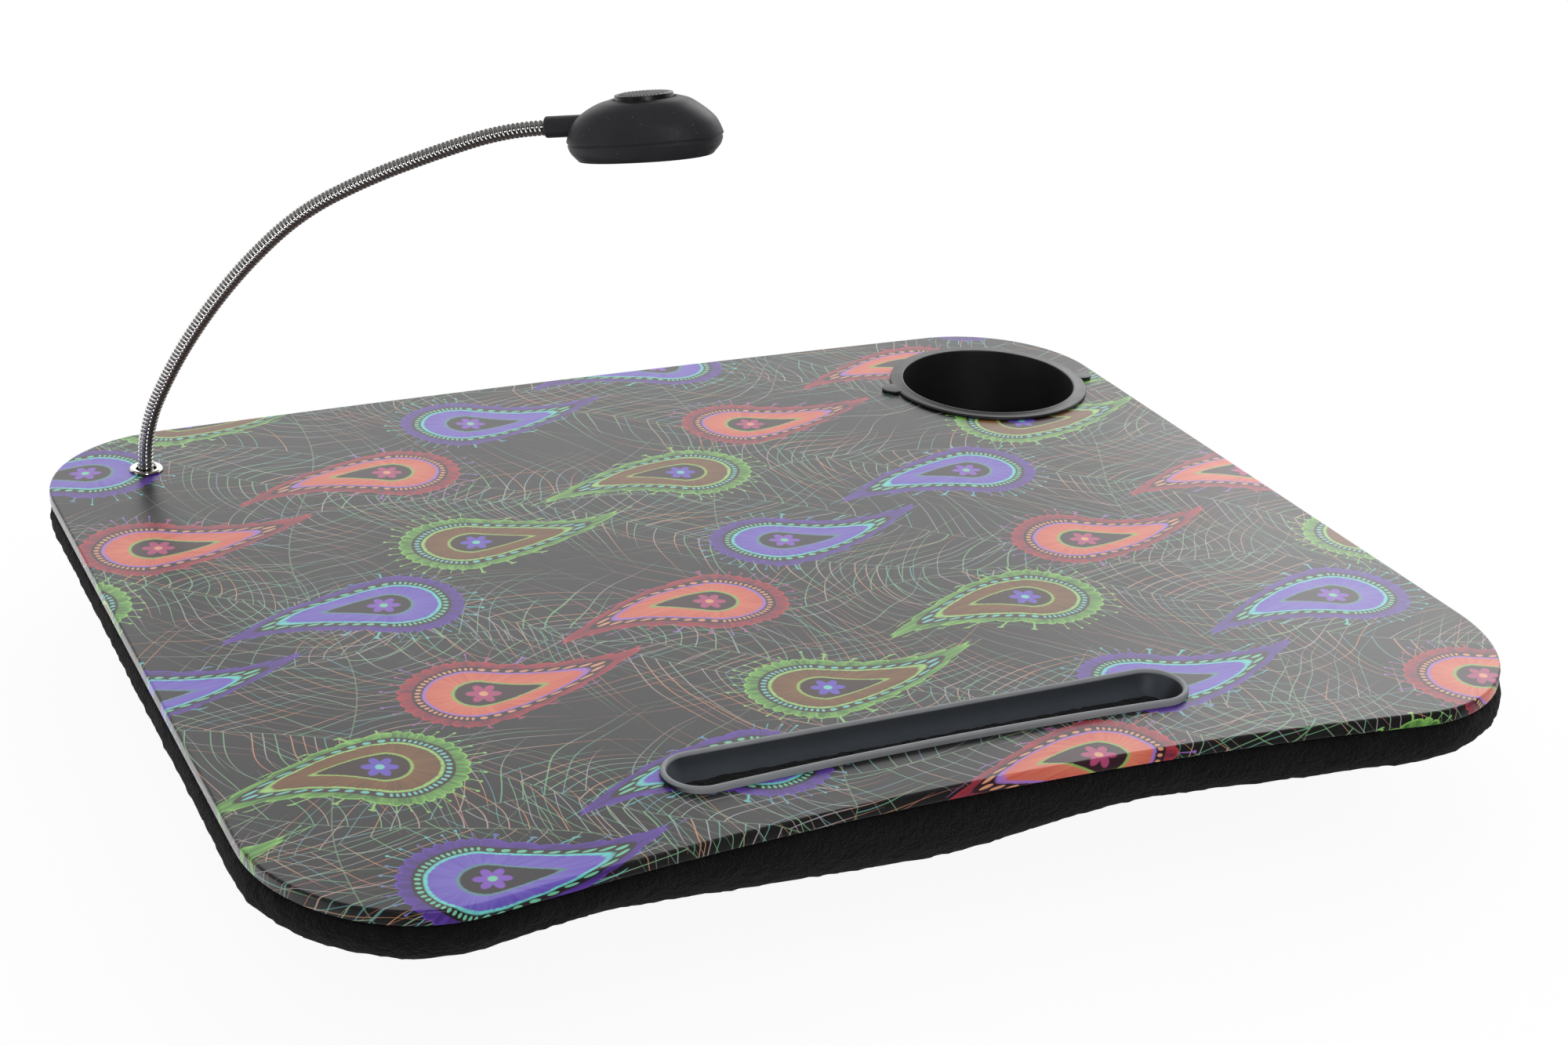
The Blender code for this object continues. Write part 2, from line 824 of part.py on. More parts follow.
def make_bottom_shell(head, rubber):
    rise = head_bottom_height - parting_gap / 2
    rings = []
    for z, x, y in bottom_ring_shares:
        half = (x * head_length / 2, y * head_width / 2)
        rings.append(pebble(*half, 0.0, -parting_gap / 2 - z * rise))
    mesh = mesh_from("head_bottom_shell", loft(rings, top=False))
    bottom = piece("head_bottom_shell", mesh, rubber, head)
    solidify(bottom, head_wall)
    low = -head_bottom_height - cut_overrun
    inside = floor_level() + cut_overrun
    sink = -head_bottom_height + post_sink
    sides = [(screw_x, side * screw_y) for side in (-1, 1)]
    for number, centre in enumerate(sides):
        foot = floor_level() - head_wall / 2
        shape = cylinder(post_radius, foot, -parting_gap / 2 - seat_gap, 12, centre)
        carve(bottom, f"bottom_post_{number}", shape, head, operation="UNION")
    for number, centre in enumerate(sides):
        shape = cylinder(screw_radius + seat_gap, low, cut_overrun, 10, centre)
        carve(bottom, f"screw_way_{number}", shape, head)
        shape = cylinder(screw_head_radius + seat_gap, low, sink, 12, centre)
        carve(bottom, f"screw_sink_{number}", shape, head)
    shape = cylinder(cap_radius + seat_gap, low, inside, 28, (cell_centre_x, 0))
    carve(bottom, "cap_hole", shape, head)
    shape = cylinder(lens_radius + seat_gap, low, inside, 28, (lens_centre_x, 0))
    carve(bottom, "lens_hole", shape, head)
    smooth(bottom)


def make_top_shell(head, rubber):
    base = parting_gap / 2
    rise = head_top_height - base
    rings = [crown_circle(button_radius + seat_gap), crown_circle(crown_radius)]
    for z, x, y, shift in reversed(top_ring_shares):
        half_x = crown_radius + x * (head_length / 2 - crown_radius)
        half_y = crown_radius + y * (head_width / 2 - crown_radius)
        rings.append(pebble(half_x, half_y, shift * crown_x, base + z * rise))
    mesh = mesh_from("head_top_shell", loft(rings, top=False, bottom=False))
    top = piece("head_top_shell", mesh, rubber, head)
    solidify(top, head_wall)
    roof = head_top_height * boss_roof_share
    deep = -head_bottom_height + post_sink + screw_length + seat_gap
    for number, side in enumerate((-1, 1)):
        centre = (screw_x, side * screw_y)
        shape = cylinder(post_radius, base, roof, 12, centre)
        carve(top, f"top_boss_{number}", shape, head, operation="UNION")
        shape = cylinder(screw_radius + seat_gap / 3, -cut_overrun, deep, 10, centre)
        carve(top, f"boss_bore_{number}", shape, head)
    shape = cylinder(sleeve_radius + seat_gap, 0, sleeve_length + cut_overrun, 20)
    place = (-head_length / 2 - sleeve_reach, 0, sleeve_rise)
    carve(top, "sleeve_way", shape, head, place, (0, math.pi / 2, 0))
    smooth(top)


def make_sleeve(head):
    inner = neck_radius + seat_gap
    edge = (sleeve_radius - inner) / 2
    profile = [
        (sleeve_radius, sleeve_length),
        (sleeve_radius, edge),
        (sleeve_radius - edge, 0),
        (inner, 0),
        (inner, sleeve_length),
    ]
    place = (-head_length / 2 - sleeve_reach, 0, sleeve_rise)
    material = principled("sleeve_plastic", plastic_black, 0.5)
    sleeve = turned("lamp_sleeve", profile, material, head, 20, place)
    sleeve.rotation_euler = (0, math.pi / 2, 0)


def make_button(head):
    """The ridged cap, carried in the crown by its flange, and the plunger under it."""
    roof = head_top_height - head_wall - seat_gap
    low = roof - button_flange_thickness
    high = head_top_height + button_proud
    edge = button_proud / 4
    profile = [
        (0, high),
        (button_radius - edge, high),
        (button_radius, high - edge),
        (button_radius, roof),
        (button_radius + button_flange, roof),
        (button_radius + button_flange, low),
        (0, low),
    ]
    material = principled("button_plastic", plastic_black, 0.4)
    place = (crown_x, 0, 0)
    button = turned("push_button", profile, material, head, 28, place, closed=False)
    count = int(button_radius * button_ridge_span_share / button_ridge_pitch)
    for index in range(-count, count + 1):
        across = index * button_ridge_pitch
        reach = math.sqrt((button_radius * button_ridge_span_share) ** 2 - across**2)
        if reach < button_ridge_pitch:
            continue
        half = button_ridge_width / 2
        corner = (across + half, reach, high + button_ridge_height)
        shape = box((across - half, -reach, high - edge), corner)
        carve(button, f"ridge_{index + count}", shape, head, place, operation="UNION")
    tip = circuit_top() + seat_gap + switch_floor + seat_gap + button_travel
    mesh = mesh_from("switch_plunger", cylinder(plunger_radius, tip, low - seat_gap, 12))
    piece("switch_plunger", mesh, principled("plunger_white", bead_white, 0.5), head, place)


def circuit_top():
    return circuit_low() + circuit_thickness


def make_electrics(head):
    half = circuit_width / 2
    shape = box((circuit_start, -half, circuit_low()), (circuit_end, half, circuit_top()))
    laminate = principled("circuit_laminate", board_green, 0.5)
    piece("circuit_board", mesh_from("circuit_board", shape), laminate, head)

    low = circuit_top() + seat_gap
    high = low + switch_height
    half = switch_width / 2
    mesh = mesh_from("switch_housing", box((-half, -half, low), (half, half, high)))
    black = principled("switch_plastic", knit_black, 0.5)
    place = (crown_x, 0, 0)
    housing = piece("switch_housing", mesh, black, head, place)
    shape = cylinder(plunger_bore_radius, low + switch_floor, high + cut_overrun, 14)
    carve(housing, "plunger_bore", shape, head, place)


def make_cells(head):
    stainless = principled("cell_steel", steel, 0.3, 1.0)
    for number in (1, 2):
        base = floor_level() + seat_gap + (number - 1) * (cell_height + seat_gap)
        name = f"coin_cell_{number}"
        profile = [
            (0, base + cell_height),
            (cell_radius - cell_step, base + cell_height),
            (cell_radius, base + cell_height - cell_step),
            (cell_radius, base),
            (0, base),
        ]
        turned(name, profile, stainless, head, 24, (cell_centre_x, 0, 0), closed=False)

    high = circuit_low() - seat_gap
    start = cell_centre_x - contact_length / 2
    half = contact_width / 2
    shape = box((start, -half, high - contact_thickness), (start + contact_length, half, high))
    mesh = mesh_from("cell_contact", shape)
    piece("cell_contact", mesh, principled("contact_brass", nickel, 0.3, 1.0), head)


def make_optics(head):
    low = -head_bottom_height
    seat = floor_level()
    lens_top = seat + seat_gap + lens_flange
    profile = [
        (0, lens_top),
        (lens_radius + lens_flange, lens_top),
        (lens_radius + lens_flange, seat + seat_gap),
        (lens_radius, seat + seat_gap),
        (lens_radius, low),
        (0, low),
    ]
    clear = principled("clear_lens", lens_clear, 0.08, 0.0, 0.4)
    turned("lamp_lens", profile, clear, head, 28, (lens_centre_x, 0, 0), closed=False)

    high = circuit_low() - seat_gap
    base = lens_top + seat_gap
    profile = [
        (reflector_throat_radius + reflector_wall, high),
        (lens_radius + reflector_wall, base),
        (lens_radius, base),
        (reflector_throat_radius, high),
    ]
    silver = principled("reflector_silver", mirror_silver, 0.15, 1.0)
    turned("lamp_reflector", profile, silver, head, 28, (lens_centre_x, 0, 0))

    epoxy = principled("led_body", led_yellow, 0.3)
    for index in range(led_count):
        angle = math.pi * (2 * index + 1) / led_count
        across = led_ring_radius * math.sin(angle)
        centre = (lens_centre_x + led_ring_radius * math.cos(angle), across)
        name = f"led_{index + 1}"
        shape = cylinder(led_radius, high - led_height, high, 10, centre, led_radius * led_tip_share)
        piece(name, mesh_from(name, shape), epoxy, head)


def make_cap(head):
    low = -head_bottom_height
    mesh = mesh_from("battery_cap", cylinder(cap_radius, low, floor_level(), 28))
    place = (cell_centre_x, 0, 0)
    cap = piece("battery_cap", mesh, principled("cap_plastic", plastic_black, 0.5), head, place)
    reach = cap_radius * cap_slot_length_share
    half = cap_slot_width / 2
    shape = box((-half, -reach, low - cut_overrun), (half, reach, low + cap_slot_depth))
    carve(cap, "coin_slot", shape, head, place)


def make_screws(head):
    plated = principled("screw_steel", steel, 0.3, 1.0)
    high = -head_bottom_height + post_sink - seat_gap
    low = high - screw_head_height
    tip = high + screw_length
    profile = [
        (0, tip),
        (screw_radius, tip),
        (screw_radius, high),
        (screw_head_radius, high),
        (screw_head_radius, low),
        (0, low),
    ]
    for number, side in enumerate((-1, 1), start=1):
        place = (screw_x, side * screw_y, 0)
        turned(f"head_screw_{number}", profile, plated, head, 12, place, closed=False)


def make_lamp(mouth):
    """The lamp head, its long axis along the sleeve and its top leaning back a little."""
    rolled = frame("lamp_roll", (0, 0, 0), mouth, (head_roll, -math.pi / 2, 0))
    head = frame("lamp_head", (sleeve_reach + head_length / 2, 0, -sleeve_rise), rolled)
    make_sleeve(head)
    rubber = principled("soft_black_shell", plastic_black, 0.6)
    make_bottom_shell(head, rubber)
    make_top_shell(head, rubber)
    make_button(head)
    make_electrics(head)
    make_cells(head)
    make_optics(head)
    make_cap(head)
    make_screws(head)


def main():
    level = frame("board_level", (0, 0, board_top))
    make_board(level)
    make_cushion(level)
    make_fill(level)
    make_cup(level)
    make_pen_tray(level)
    make_eyelet(level)
    make_lamp(make_neck(level))
    bpy.context.view_layer.update()


main()
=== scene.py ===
# %% [markdown]
# # A cushioned lap tray with a cup, a pen groove and a reading lamp
#
# The CAD model is a fixed frame: it says where every part is, and how it moves. This
# notebook dresses it. Each step first says what the real piece is, how it could be made
# and why this way was chosen, and then makes it.

# %% Load the frame and keep its meshes
import math

import bmesh
import bpy
import numpy as np
from mathutils import Matrix, Vector


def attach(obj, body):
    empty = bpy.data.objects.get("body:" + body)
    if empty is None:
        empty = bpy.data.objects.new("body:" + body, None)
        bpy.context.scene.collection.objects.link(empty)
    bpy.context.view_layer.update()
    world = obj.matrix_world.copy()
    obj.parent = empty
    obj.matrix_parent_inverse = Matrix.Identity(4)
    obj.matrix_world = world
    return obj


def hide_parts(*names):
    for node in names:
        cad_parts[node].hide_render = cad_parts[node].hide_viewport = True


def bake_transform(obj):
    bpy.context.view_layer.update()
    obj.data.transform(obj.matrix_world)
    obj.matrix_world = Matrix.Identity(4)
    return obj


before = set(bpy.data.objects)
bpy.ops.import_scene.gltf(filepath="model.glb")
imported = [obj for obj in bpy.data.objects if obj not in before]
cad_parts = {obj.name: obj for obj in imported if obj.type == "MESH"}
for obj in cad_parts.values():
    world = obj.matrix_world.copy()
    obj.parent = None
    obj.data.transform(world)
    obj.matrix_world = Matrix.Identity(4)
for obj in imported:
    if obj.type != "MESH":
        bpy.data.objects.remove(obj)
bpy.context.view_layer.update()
scene = bpy.context.scene

# %% [markdown]
# ## The camera
# The photograph was taken from the front left, a little above the tray. A camera could
# be aimed with a constraint, but its place, its direction and its small roll came from
# a fit to the photograph, so they are set as numbers.

# %% Place the camera
CAMERA_PLACE = (-0.4164, -0.8789, 0.5099)
camera_data = bpy.data.cameras.new("camera")
camera_data.sensor_width = 36.0
camera_data.lens = 62.677
camera = bpy.data.objects.new("camera", camera_data)
scene.collection.objects.link(camera)
forward = Vector((0.4032, 0.8198, -0.4066)).normalized()
level_right = forward.cross(Vector((0, 0, 1))).normalized()
level_up = level_right.cross(forward)
roll = math.radians(2.86)
right = level_right * math.cos(roll) + level_up * math.sin(roll)
up = level_up * math.cos(roll) - level_right * math.sin(roll)
turn = Matrix((right, up, -forward)).transposed().to_4x4()
camera.matrix_world = Matrix.Translation(CAMERA_PLACE) @ turn
camera_data.clip_start = 0.05
camera_data.clip_end = 50.0
scene.camera = camera
print("camera at", tuple(round(value, 3) for value in camera.matrix_world.translation))

# %% [markdown]
# ## A way to write shader maths
# A material is a graph of nodes. Wiring a hundred Math nodes by hand is hard to read, so
# one small class wraps a socket and lets plain Python expressions add the nodes.

# %% Sockets with arithmetic


class Wire:
    """A value on its way through one material's nodes."""

    def __init__(self, tree, socket):
        self.tree = tree
        self.socket = socket

    def math(self, operation, *others, clamp=False):
        inputs = dict(enumerate((self, *others)))
        return node(self.tree, "ShaderNodeMath", {"operation": operation, "use_clamp": clamp}, inputs)

    def __add__(self, other):
        return self.math("ADD", other)

    __radd__ = __add__

    def __mul__(self, other):
        return self.math("MULTIPLY", other)

    __rmul__ = __mul__

    def __sub__(self, other):
        return self.math("SUBTRACT", other)

    def __rsub__(self, other):
        return self * -1 + other

    def __truediv__(self, other):
        return self.math("DIVIDE", other)

    def __abs__(self):
        return self.math("ABSOLUTE")

    def __gt__(self, other):
        return self.math("GREATER_THAN", other)

    def __lt__(self, other):
        return self.math("LESS_THAN", other)

    def __mod__(self, other):
        return self.math("FLOORED_MODULO", other)

    def floor(self):
        return self.math("FLOOR")

    def sine(self):
        return self.math("SINE")

    def lowest(self, other):
        return self.math("MINIMUM", other)

    def highest(self, other):
        return self.math("MAXIMUM", other)

    def clamp(self):
        return self.math("ADD", 0, clamp=True)


def node(tree, kind, settings=None, inputs=None, output=0):
    """Adds a node, its settings first, then its sockets' values or links."""
    made = tree.nodes.new(kind)
    for name, value in (settings or {}).items():
        if name == "stops":
            ramp = made.color_ramp
            while len(ramp.elements) < len(value):
                ramp.elements.new(1.0)
            for element, (place, color) in zip(ramp.elements, value):
                element.position = place
                element.color = (*color, 1.0)
        else:
            setattr(made, name, value)
    for key, value in (inputs or {}).items():
        socket = made.inputs[key]
        if isinstance(value, Wire):
            tree.links.new(value.socket, socket)
        elif isinstance(value, tuple) and len(value) == 3 and socket.type == "RGBA":
            socket.default_value = (*value, 1.0)
        else:
            socket.default_value = value
    return Wire(tree, made.outputs[output])


def step(value, low, high):
    """0 below low and 1 above high, smooth between them."""
    inputs = {"Value": value, "From Min": low, "From Max": high}
    return node(value.tree, "ShaderNodeMapRange", {"interpolation_type": "SMOOTHSTEP"}, inputs)


def band(value, low, high, soft):
    """1 between low and high, with soft edges."""
    return step(value, low - soft, low + soft) * (1 - step(value, high - soft, high + soft))


def mix(factor, first, second):
    """Colour first where factor is 0, second where it is 1."""
    tree = next(item.tree for item in (factor, first, second) if isinstance(item, Wire))
    inputs = {0: factor, 6: first, 7: second}
    return node(tree, "ShaderNodeMix", {"data_type": "RGBA"}, inputs, output=2)


def noise(tree, place, scale, detail=2.0, roughness=0.5):
    inputs = {"Vector": place, "Scale": scale, "Detail": detail, "Roughness": roughness}
    return node(tree, "ShaderNodeTexNoise", None, inputs)


def chance(tree, place, salt=0.0):
    """A random number from 0 to 1 for each whole number or pair."""
    inputs = {"Vector": place, "W": salt}
    return node(tree, "ShaderNodeTexWhiteNoise", {"noise_dimensions": "4D"}, inputs)


def vector(tree, x=0.0, y=0.0, z=0.0):
    return node(tree, "ShaderNodeCombineXYZ", None, {0: x, 1: y, 2: z})


def axes(tree, place):
    """The place's x, y and z as three values."""
    split = node(tree, "ShaderNodeSeparateXYZ", None, {0: place})
    return [Wire(tree, socket) for socket in split.socket.node.outputs]


def object_place(tree):
    return node(tree, "ShaderNodeTexCoord", output="Object")


def stretch(tree, place, scale):
    """The place with each axis scaled, so that a texture on it is drawn out."""
    return node(tree, "ShaderNodeVectorMath", {"operation": "MULTIPLY"}, {0: place, 1: scale})


def bump(tree, height, strength, distance):
    inputs = {"Height": height, "Strength": strength, "Distance": distance}
    return node(tree, "ShaderNodeBump", None, inputs)


def material(name):
    """A new material and its tree of nodes."""
    made = bpy.data.materials.new(name)
    made.use_nodes = True
    return made, made.node_tree


def finish_material(made, sockets):
    """Sets constants and links on the Principled shader's own sockets."""
    tree = made.node_tree
    shader = tree.nodes["Principled BSDF"]
    for name, value in sockets.items():
        socket = shader.inputs[name]
        if isinstance(value, Wire):
            tree.links.new(value.socket, socket)
        elif socket.type == "RGBA":
            socket.default_value = (*value, 1.0)
        else:
            socket.default_value = value
    print("material", made.name, "with", len(tree.nodes), "nodes")
    return made


# %% [markdown]
# ## Two small helpers for meshes
# Most parts of the tray are stacks of closed rings: the board, the cushion, the cup, the
# pen groove and the lamp. Each starts as a circle primitive and is extruded ring by ring
# in edit mode. The ring's points are then put on the piece's own outline, because none
# of these outlines is round.

# %% Rings from an extruded circle


def deselect():
    if bpy.context.mode != "OBJECT":
        bpy.ops.object.mode_set(mode="OBJECT")
    bpy.ops.object.select_all(action="DESELECT")


def activate(obj):
    deselect()
    obj.select_set(True)
    bpy.context.view_layer.objects.active = obj


def apply(obj, kind, **settings):
    """Adds a modifier, sets it and applies it."""
    activate(obj)
    modifier = obj.modifiers.new(kind.lower(), kind)
    for name, value in settings.items():
        setattr(modifier, name, value)
    bpy.ops.object.modifier_apply(modifier=modifier.name)


def put_ring(edit, layer, ring):
    for vertex in edit.verts:
        if vertex.select:
            vertex.co = ring[vertex[layer]]


def ring_piece(name, rings, first_cap=True, last_cap=True, loop=False):
    """A circle extruded through the rings, each as many points, in the row frame."""
    count = len(rings[0])
    deselect()
    bpy.ops.mesh.primitive_circle_add(vertices=count, radius=0.1)
    obj = bpy.context.active_object
    obj.name = name
    obj.data.name = name
    bpy.ops.object.mode_set(mode="EDIT")
    edit = bmesh.from_edit_mesh(obj.data)
    layer = edit.verts.layers.int.new("spoke")
    order = edit.verts.layers.int.new("ring")
    for index, vertex in enumerate(edit.verts):
        vertex[layer] = index
    put_ring(edit, layer, rings[0])
    for number, ring in enumerate(rings[1:], start=1):
        bpy.ops.mesh.extrude_region()
        edit = bmesh.from_edit_mesh(obj.data)
        layer = edit.verts.layers.int["spoke"]
        order = edit.verts.layers.int["ring"]
        put_ring(edit, layer, ring)
        for vertex in edit.verts:
            if vertex.select:
                vertex[order] = number
    last = len(rings) - 1
    for number, wanted in ((last, last_cap), (0, first_cap)):
        if wanted:
            select_ring(edit, order, (number,))
            bpy.ops.mesh.edge_face_add()
            edit = bmesh.from_edit_mesh(obj.data)
            order = edit.verts.layers.int["ring"]
    if loop:
        select_ring(edit, order, (0, last))
        bpy.ops.mesh.bridge_edge_loops()
    bpy.ops.mesh.select_all(action="SELECT")
    bpy.ops.mesh.normals_make_consistent(inside=False)
    bpy.ops.object.mode_set(mode="OBJECT")
    obj.data.transform(obj.matrix_world)
    obj.matrix_world = Matrix.Identity(4)
    return obj


def select_ring(edit, order, numbers):
    """Selects the edges that lie wholly on the numbered rings."""
    for item in (*edit.verts, *edit.edges, *edit.faces):
        item.select = False
    for edge in edit.edges:
        first, second = (vertex[order] for vertex in edge.verts)
        if first == second and first in numbers:
            edge.select_set(True)


def smooth(obj, degrees=35.0):
    activate(obj)
    bpy.ops.object.shade_smooth_by_angle(angle=math.radians(degrees))


def round_ring(radius, height, count, centre=(0.0, 0.0)):
    x, y = centre
    angles = [2 * math.pi * i / count for i in range(count)]
    return [Vector((x + radius * math.cos(a), y + radius * math.sin(a), height)) for a in angles]


def quarter(steps):
    """The angles of a quarter turn, for a rounded edge."""
    return [math.pi / 2 * i / steps for i in range(steps + 1)]


def turned(name, profile, count, centre=(0.0, 0.0), **caps):
    """A lathe shape: one ring for each (radius, height) of the profile."""
    return ring_piece(name, [round_ring(r, z, count, centre) for r, z in profile], **caps)


def subtract(obj, cutter, operation="DIFFERENCE"):
    """Cuts with another mesh, applies the cut and removes the cutter."""
    apply(obj, "BOOLEAN", operation=operation, object=cutter, solver="EXACT")
    bpy.data.objects.remove(cutter, do_unlink=True)


def set_material(obj, made):
    obj.data.materials.clear()
    obj.data.materials.append(made)


def dress(obj, made, body, slot, *nodes):
    """Gives the piece its finish, its body and the CAD nodes that it stands for."""
    set_material(obj, made)
    if body:
        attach(obj, body)
    if nodes:
        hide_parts(*nodes)
    print(obj.name, len(obj.data.polygons), "faces")


# %% [markdown]
# ## The outline of the board
# The board is wide and shallow, with deep elliptical front corners, round back corners,
# a hollow front edge for the user's waist and a slightly bulging back edge. A Bezier
# curve could draw it, but the same formula as in the CAD keeps the print exactly on it.

# %% The outline and its offsets
BOARD_WIDTH = 0.480
BOARD_DEPTH = 0.4068
BOARD_TOP = 0.0615
BOARD_THICK = 0.0055


def arc(centre, radii, start, end, steps):
    (x, y), (wide, deep) = centre, radii
    angles = [start + (end - start) * i / steps for i in range(steps + 1)]
    return [Vector((x + wide * math.cos(a), y + deep * math.sin(a))) for a in angles]


def board_outline(corner_steps, edge_steps):
    """Anticlockwise from the middle of the hollow front edge."""
    half = BOARD_WIDTH / 2
    wide, deep, back_radius, hollow, bulge = 0.0573, 0.0646, 0.0576, 0.0133, 0.0029
    lean = math.atan(2 * hollow / (half - wide) * wide / deep)
    corner = arc((half - wide, deep - BOARD_DEPTH / 2), (wide, deep), -math.pi / 2 - lean, 0, corner_steps)
    reach, edge = corner[0]
    points = []
    for i in range(edge_steps):
        x = reach * i / edge_steps
        points.append(Vector((x, edge + hollow * (1 - (x / reach) ** 2))))
    points += corner
    reach = half - back_radius
    edge = BOARD_DEPTH / 2 - bulge
    points += arc((reach, edge - back_radius), (back_radius, back_radius), 0, math.pi / 2, corner_steps)
    for i in range(1, edge_steps + 1):
        x = reach * (1 - i / edge_steps)
        points.append(Vector((x, edge + bulge * (1 - (x / reach) ** 2))))
    return points + [Vector((-p.x, p.y)) for p in reversed(points[1:-1])]


def offset(points, distance):
    """The outline moved outwards along its own normals."""
    moved = []
    for i, point in enumerate(points):
        along = (points[(i + 1) % len(points)] - points[i - 1]).normalized()
        moved.append(point + distance * Vector((along.y, -along.x)))
    return moved


outline = board_outline(20, 28)
print("outline of", len(outline), "points")

# %% [markdown]
# ## The printed board
# The real one is a thin fibre board wrapped in printed film. The film goes over the
# rounded edge and round the side, so the print bends with it. A box projection would
# smear there. Instead, the piece carries its own map: on top it is the plain place in
# metres, and down the side it goes on by the length of the film.

# %% Build the board with its film map


def rim_steps(radius, steps):
    """(inset, depth, film length) from the flat top, round the edge, to the flat underside."""
    rows = [(radius + 0.0004, 0.0, -0.0004)]
    for angle in quarter(steps):
        rows.append((radius * (1 - math.sin(angle)), radius * (1 - math.cos(angle)), radius * angle))
    run = radius * math.pi / 2 + BOARD_THICK - 2 * radius
    for angle in quarter(steps):
        depth = BOARD_THICK - radius * (1 - math.sin(angle))
        rows.append((radius * (1 - math.cos(angle)), depth, run + radius * angle))
    return rows


def make_board():
    radius = 0.0010
    rows = rim_steps(radius, 5)
    base = offset(outline, -radius)
    normals = [(b - a).normalized() for a, b in zip(base, outline)]
    rings, maps = [], []
    for inset, depth, run in rows:
        flat = offset(outline, -inset)
        rings.append([Vector((p.x, p.y, BOARD_TOP - depth)) for p in flat])
        maps.append([p + n * run for p, n in zip(base, normals)])
    obj = ring_piece("printed_board", rings)
    film = obj.data.uv_layers.new(name="film")
    spoke = obj.data.attributes["spoke"].data
    number = obj.data.attributes["ring"].data
    for loop in obj.data.loops:
        film.data[loop.index].uv = maps[number[loop.vertex_index].value][spoke[loop.vertex_index].value]
    return obj


board = make_board()
print("film map on", len(board.data.loops), "corners")

# %% [markdown]
# The holes for the cup, the pen groove and the eyelet are cut with closed cutters and a
# Boolean, as a punch would. Their raw edges end up under flanges.

# %% Punch the holes
CUP = (0.1834, 0.1357)
PEN = (0.0025, -0.1529)
PEN_LENGTH, PEN_WIDTH = 0.2039, 0.0265
NECK = (-0.1983, 0.1603)
CUP_HOLE, EYELET_HOLE = 0.0410, 0.0048


def pen_outline(inset, steps):
    """Round ends and a slightly bowed near side."""
    radius = PEN_WIDTH / 2 - inset
    reach = (PEN_LENGTH - PEN_WIDTH) / 2
    points = arc((reach, 0), (radius, radius), -math.pi / 2, math.pi / 2, 2 * steps)
    points += [Vector((reach * (1 - i / steps), radius)) for i in range(1, 2 * steps)]
    points += arc((-reach, 0), (radius, radius), math.pi / 2, 3 * math.pi / 2, 2 * steps)
    points += [Vector((reach * (i / steps - 1), -radius)) for i in range(1, 2 * steps)]
    for p in points:
        p.y += 0.0030 * max(0.0, -p.y / radius) * max(0.0, 1 - (p.x / reach) ** 2)
    return [p + Vector(PEN) for p in points]


def prism(name, points, low, high):
    return ring_piece(name, [[Vector((p.x, p.y, z)) for p in points] for z in (high, low)])


low, high = BOARD_TOP - BOARD_THICK - 0.002, BOARD_TOP + 0.002
subtract(board, turned("cup_punch", [(CUP_HOLE, high), (CUP_HOLE, low)], 96, CUP))
subtract(board, turned("eyelet_punch", [(EYELET_HOLE, high), (EYELET_HOLE, low)], 32, NECK))
subtract(board, prism("pen_punch", pen_outline(0.0016, 12), low, high))
smooth(board)
print("board after punching:", len(board.data.polygons), "faces")

# %% [markdown]
# ## The printed film
# The film has a dark ground, drop-shaped motifs in three colourways and hair-thin curved
# strokes everywhere. A picture would be the usual way. Here the print is drawn by maths
# on the film map, so it is sharp at any distance. The motifs stand in a half-drop
# repeat: every second row is shifted by half a repeat and turned half round.

# %% The ground and the strokes


def turned_place(x, y, degrees, dx=0.0, dy=0.0):
    """The place in a frame that is turned and moved."""
    c, s = math.cos(math.radians(degrees)), math.sin(math.radians(degrees))
    return x * c + y * s + dx, y * c - x * s + dy


def sprays(tree, x, y, spray):
    """Fine strokes that leave wavy stems on both sides: (coverage, luck, share of the way out, stem)."""
    pitch, period, lean, curl, salt, width = spray
    wave = (x * (2 * math.pi / 0.21) + salt).sine() * 0.008
    across = (y + wave) / period + salt * 0.37
    row = across.floor()
    out = (across - row - 0.5) * period
    far = abs(out)
    side = out > 0
    sway = noise(tree, vector(tree, x, y, side + salt), 16.0, 1.0, 0.4)
    along = (x - far * lean - far * far * curl + (sway - 0.5) * 0.036) / pitch
    stroke = along.floor()
    which = vector(tree, stroke, row, side)
    luck = chance(tree, which, salt)
    tint = chance(tree, which, salt + 3.0)
    reach = (0.16 + luck * 0.34) * period
    share = far / reach
    slant = far * (2 * curl) + lean
    bend = (chance(tree, which, salt + 6.0) - 0.5) * (share * share).lowest(1.0) * 0.55
    place = (along - stroke - 0.3 - tint * 0.4 + bend) * pitch / (slant * slant + 1).math("SQRT")
    half = (1 - share * share).highest(0.0) * width * 0.5
    line = 1 - step(abs(place), half - 0.00006, half + 0.00010)
    stem = 1 - step(far, 0.00010, 0.00040)
    return line * (share < 1) * (tint > 0.22), tint, share, stem


SPRAY_COLORS = (
    (0.0, (0.26, 0.12, 0.52)),
    (0.25, (0.17, 0.46, 0.50)),
    (0.45, (0.26, 0.58, 0.26)),
    (0.62, (0.42, 0.42, 0.46)),
    (0.80, (0.58, 0.28, 0.13)),
    (1.0, (0.46, 0.10, 0.20)),
)
# pitch, distance between stems, lean and curl of the strokes, seed, width of a stroke
SPRAYS = (
    (-38.0, (0.0052, 0.104, 0.5, 15.0, 1.0, 0.00042)),
    (-4.0, (0.0064, 0.122, 0.3, 12.0, 2.3, 0.00036)),
    (146.0, (0.0068, 0.138, 0.4, 14.0, 7.7, 0.00036)),
    (78.0, (0.0086, 0.170, 0.2, 9.0, 4.1, 0.00034)),
)
print("stroke layers:", len(SPRAYS))

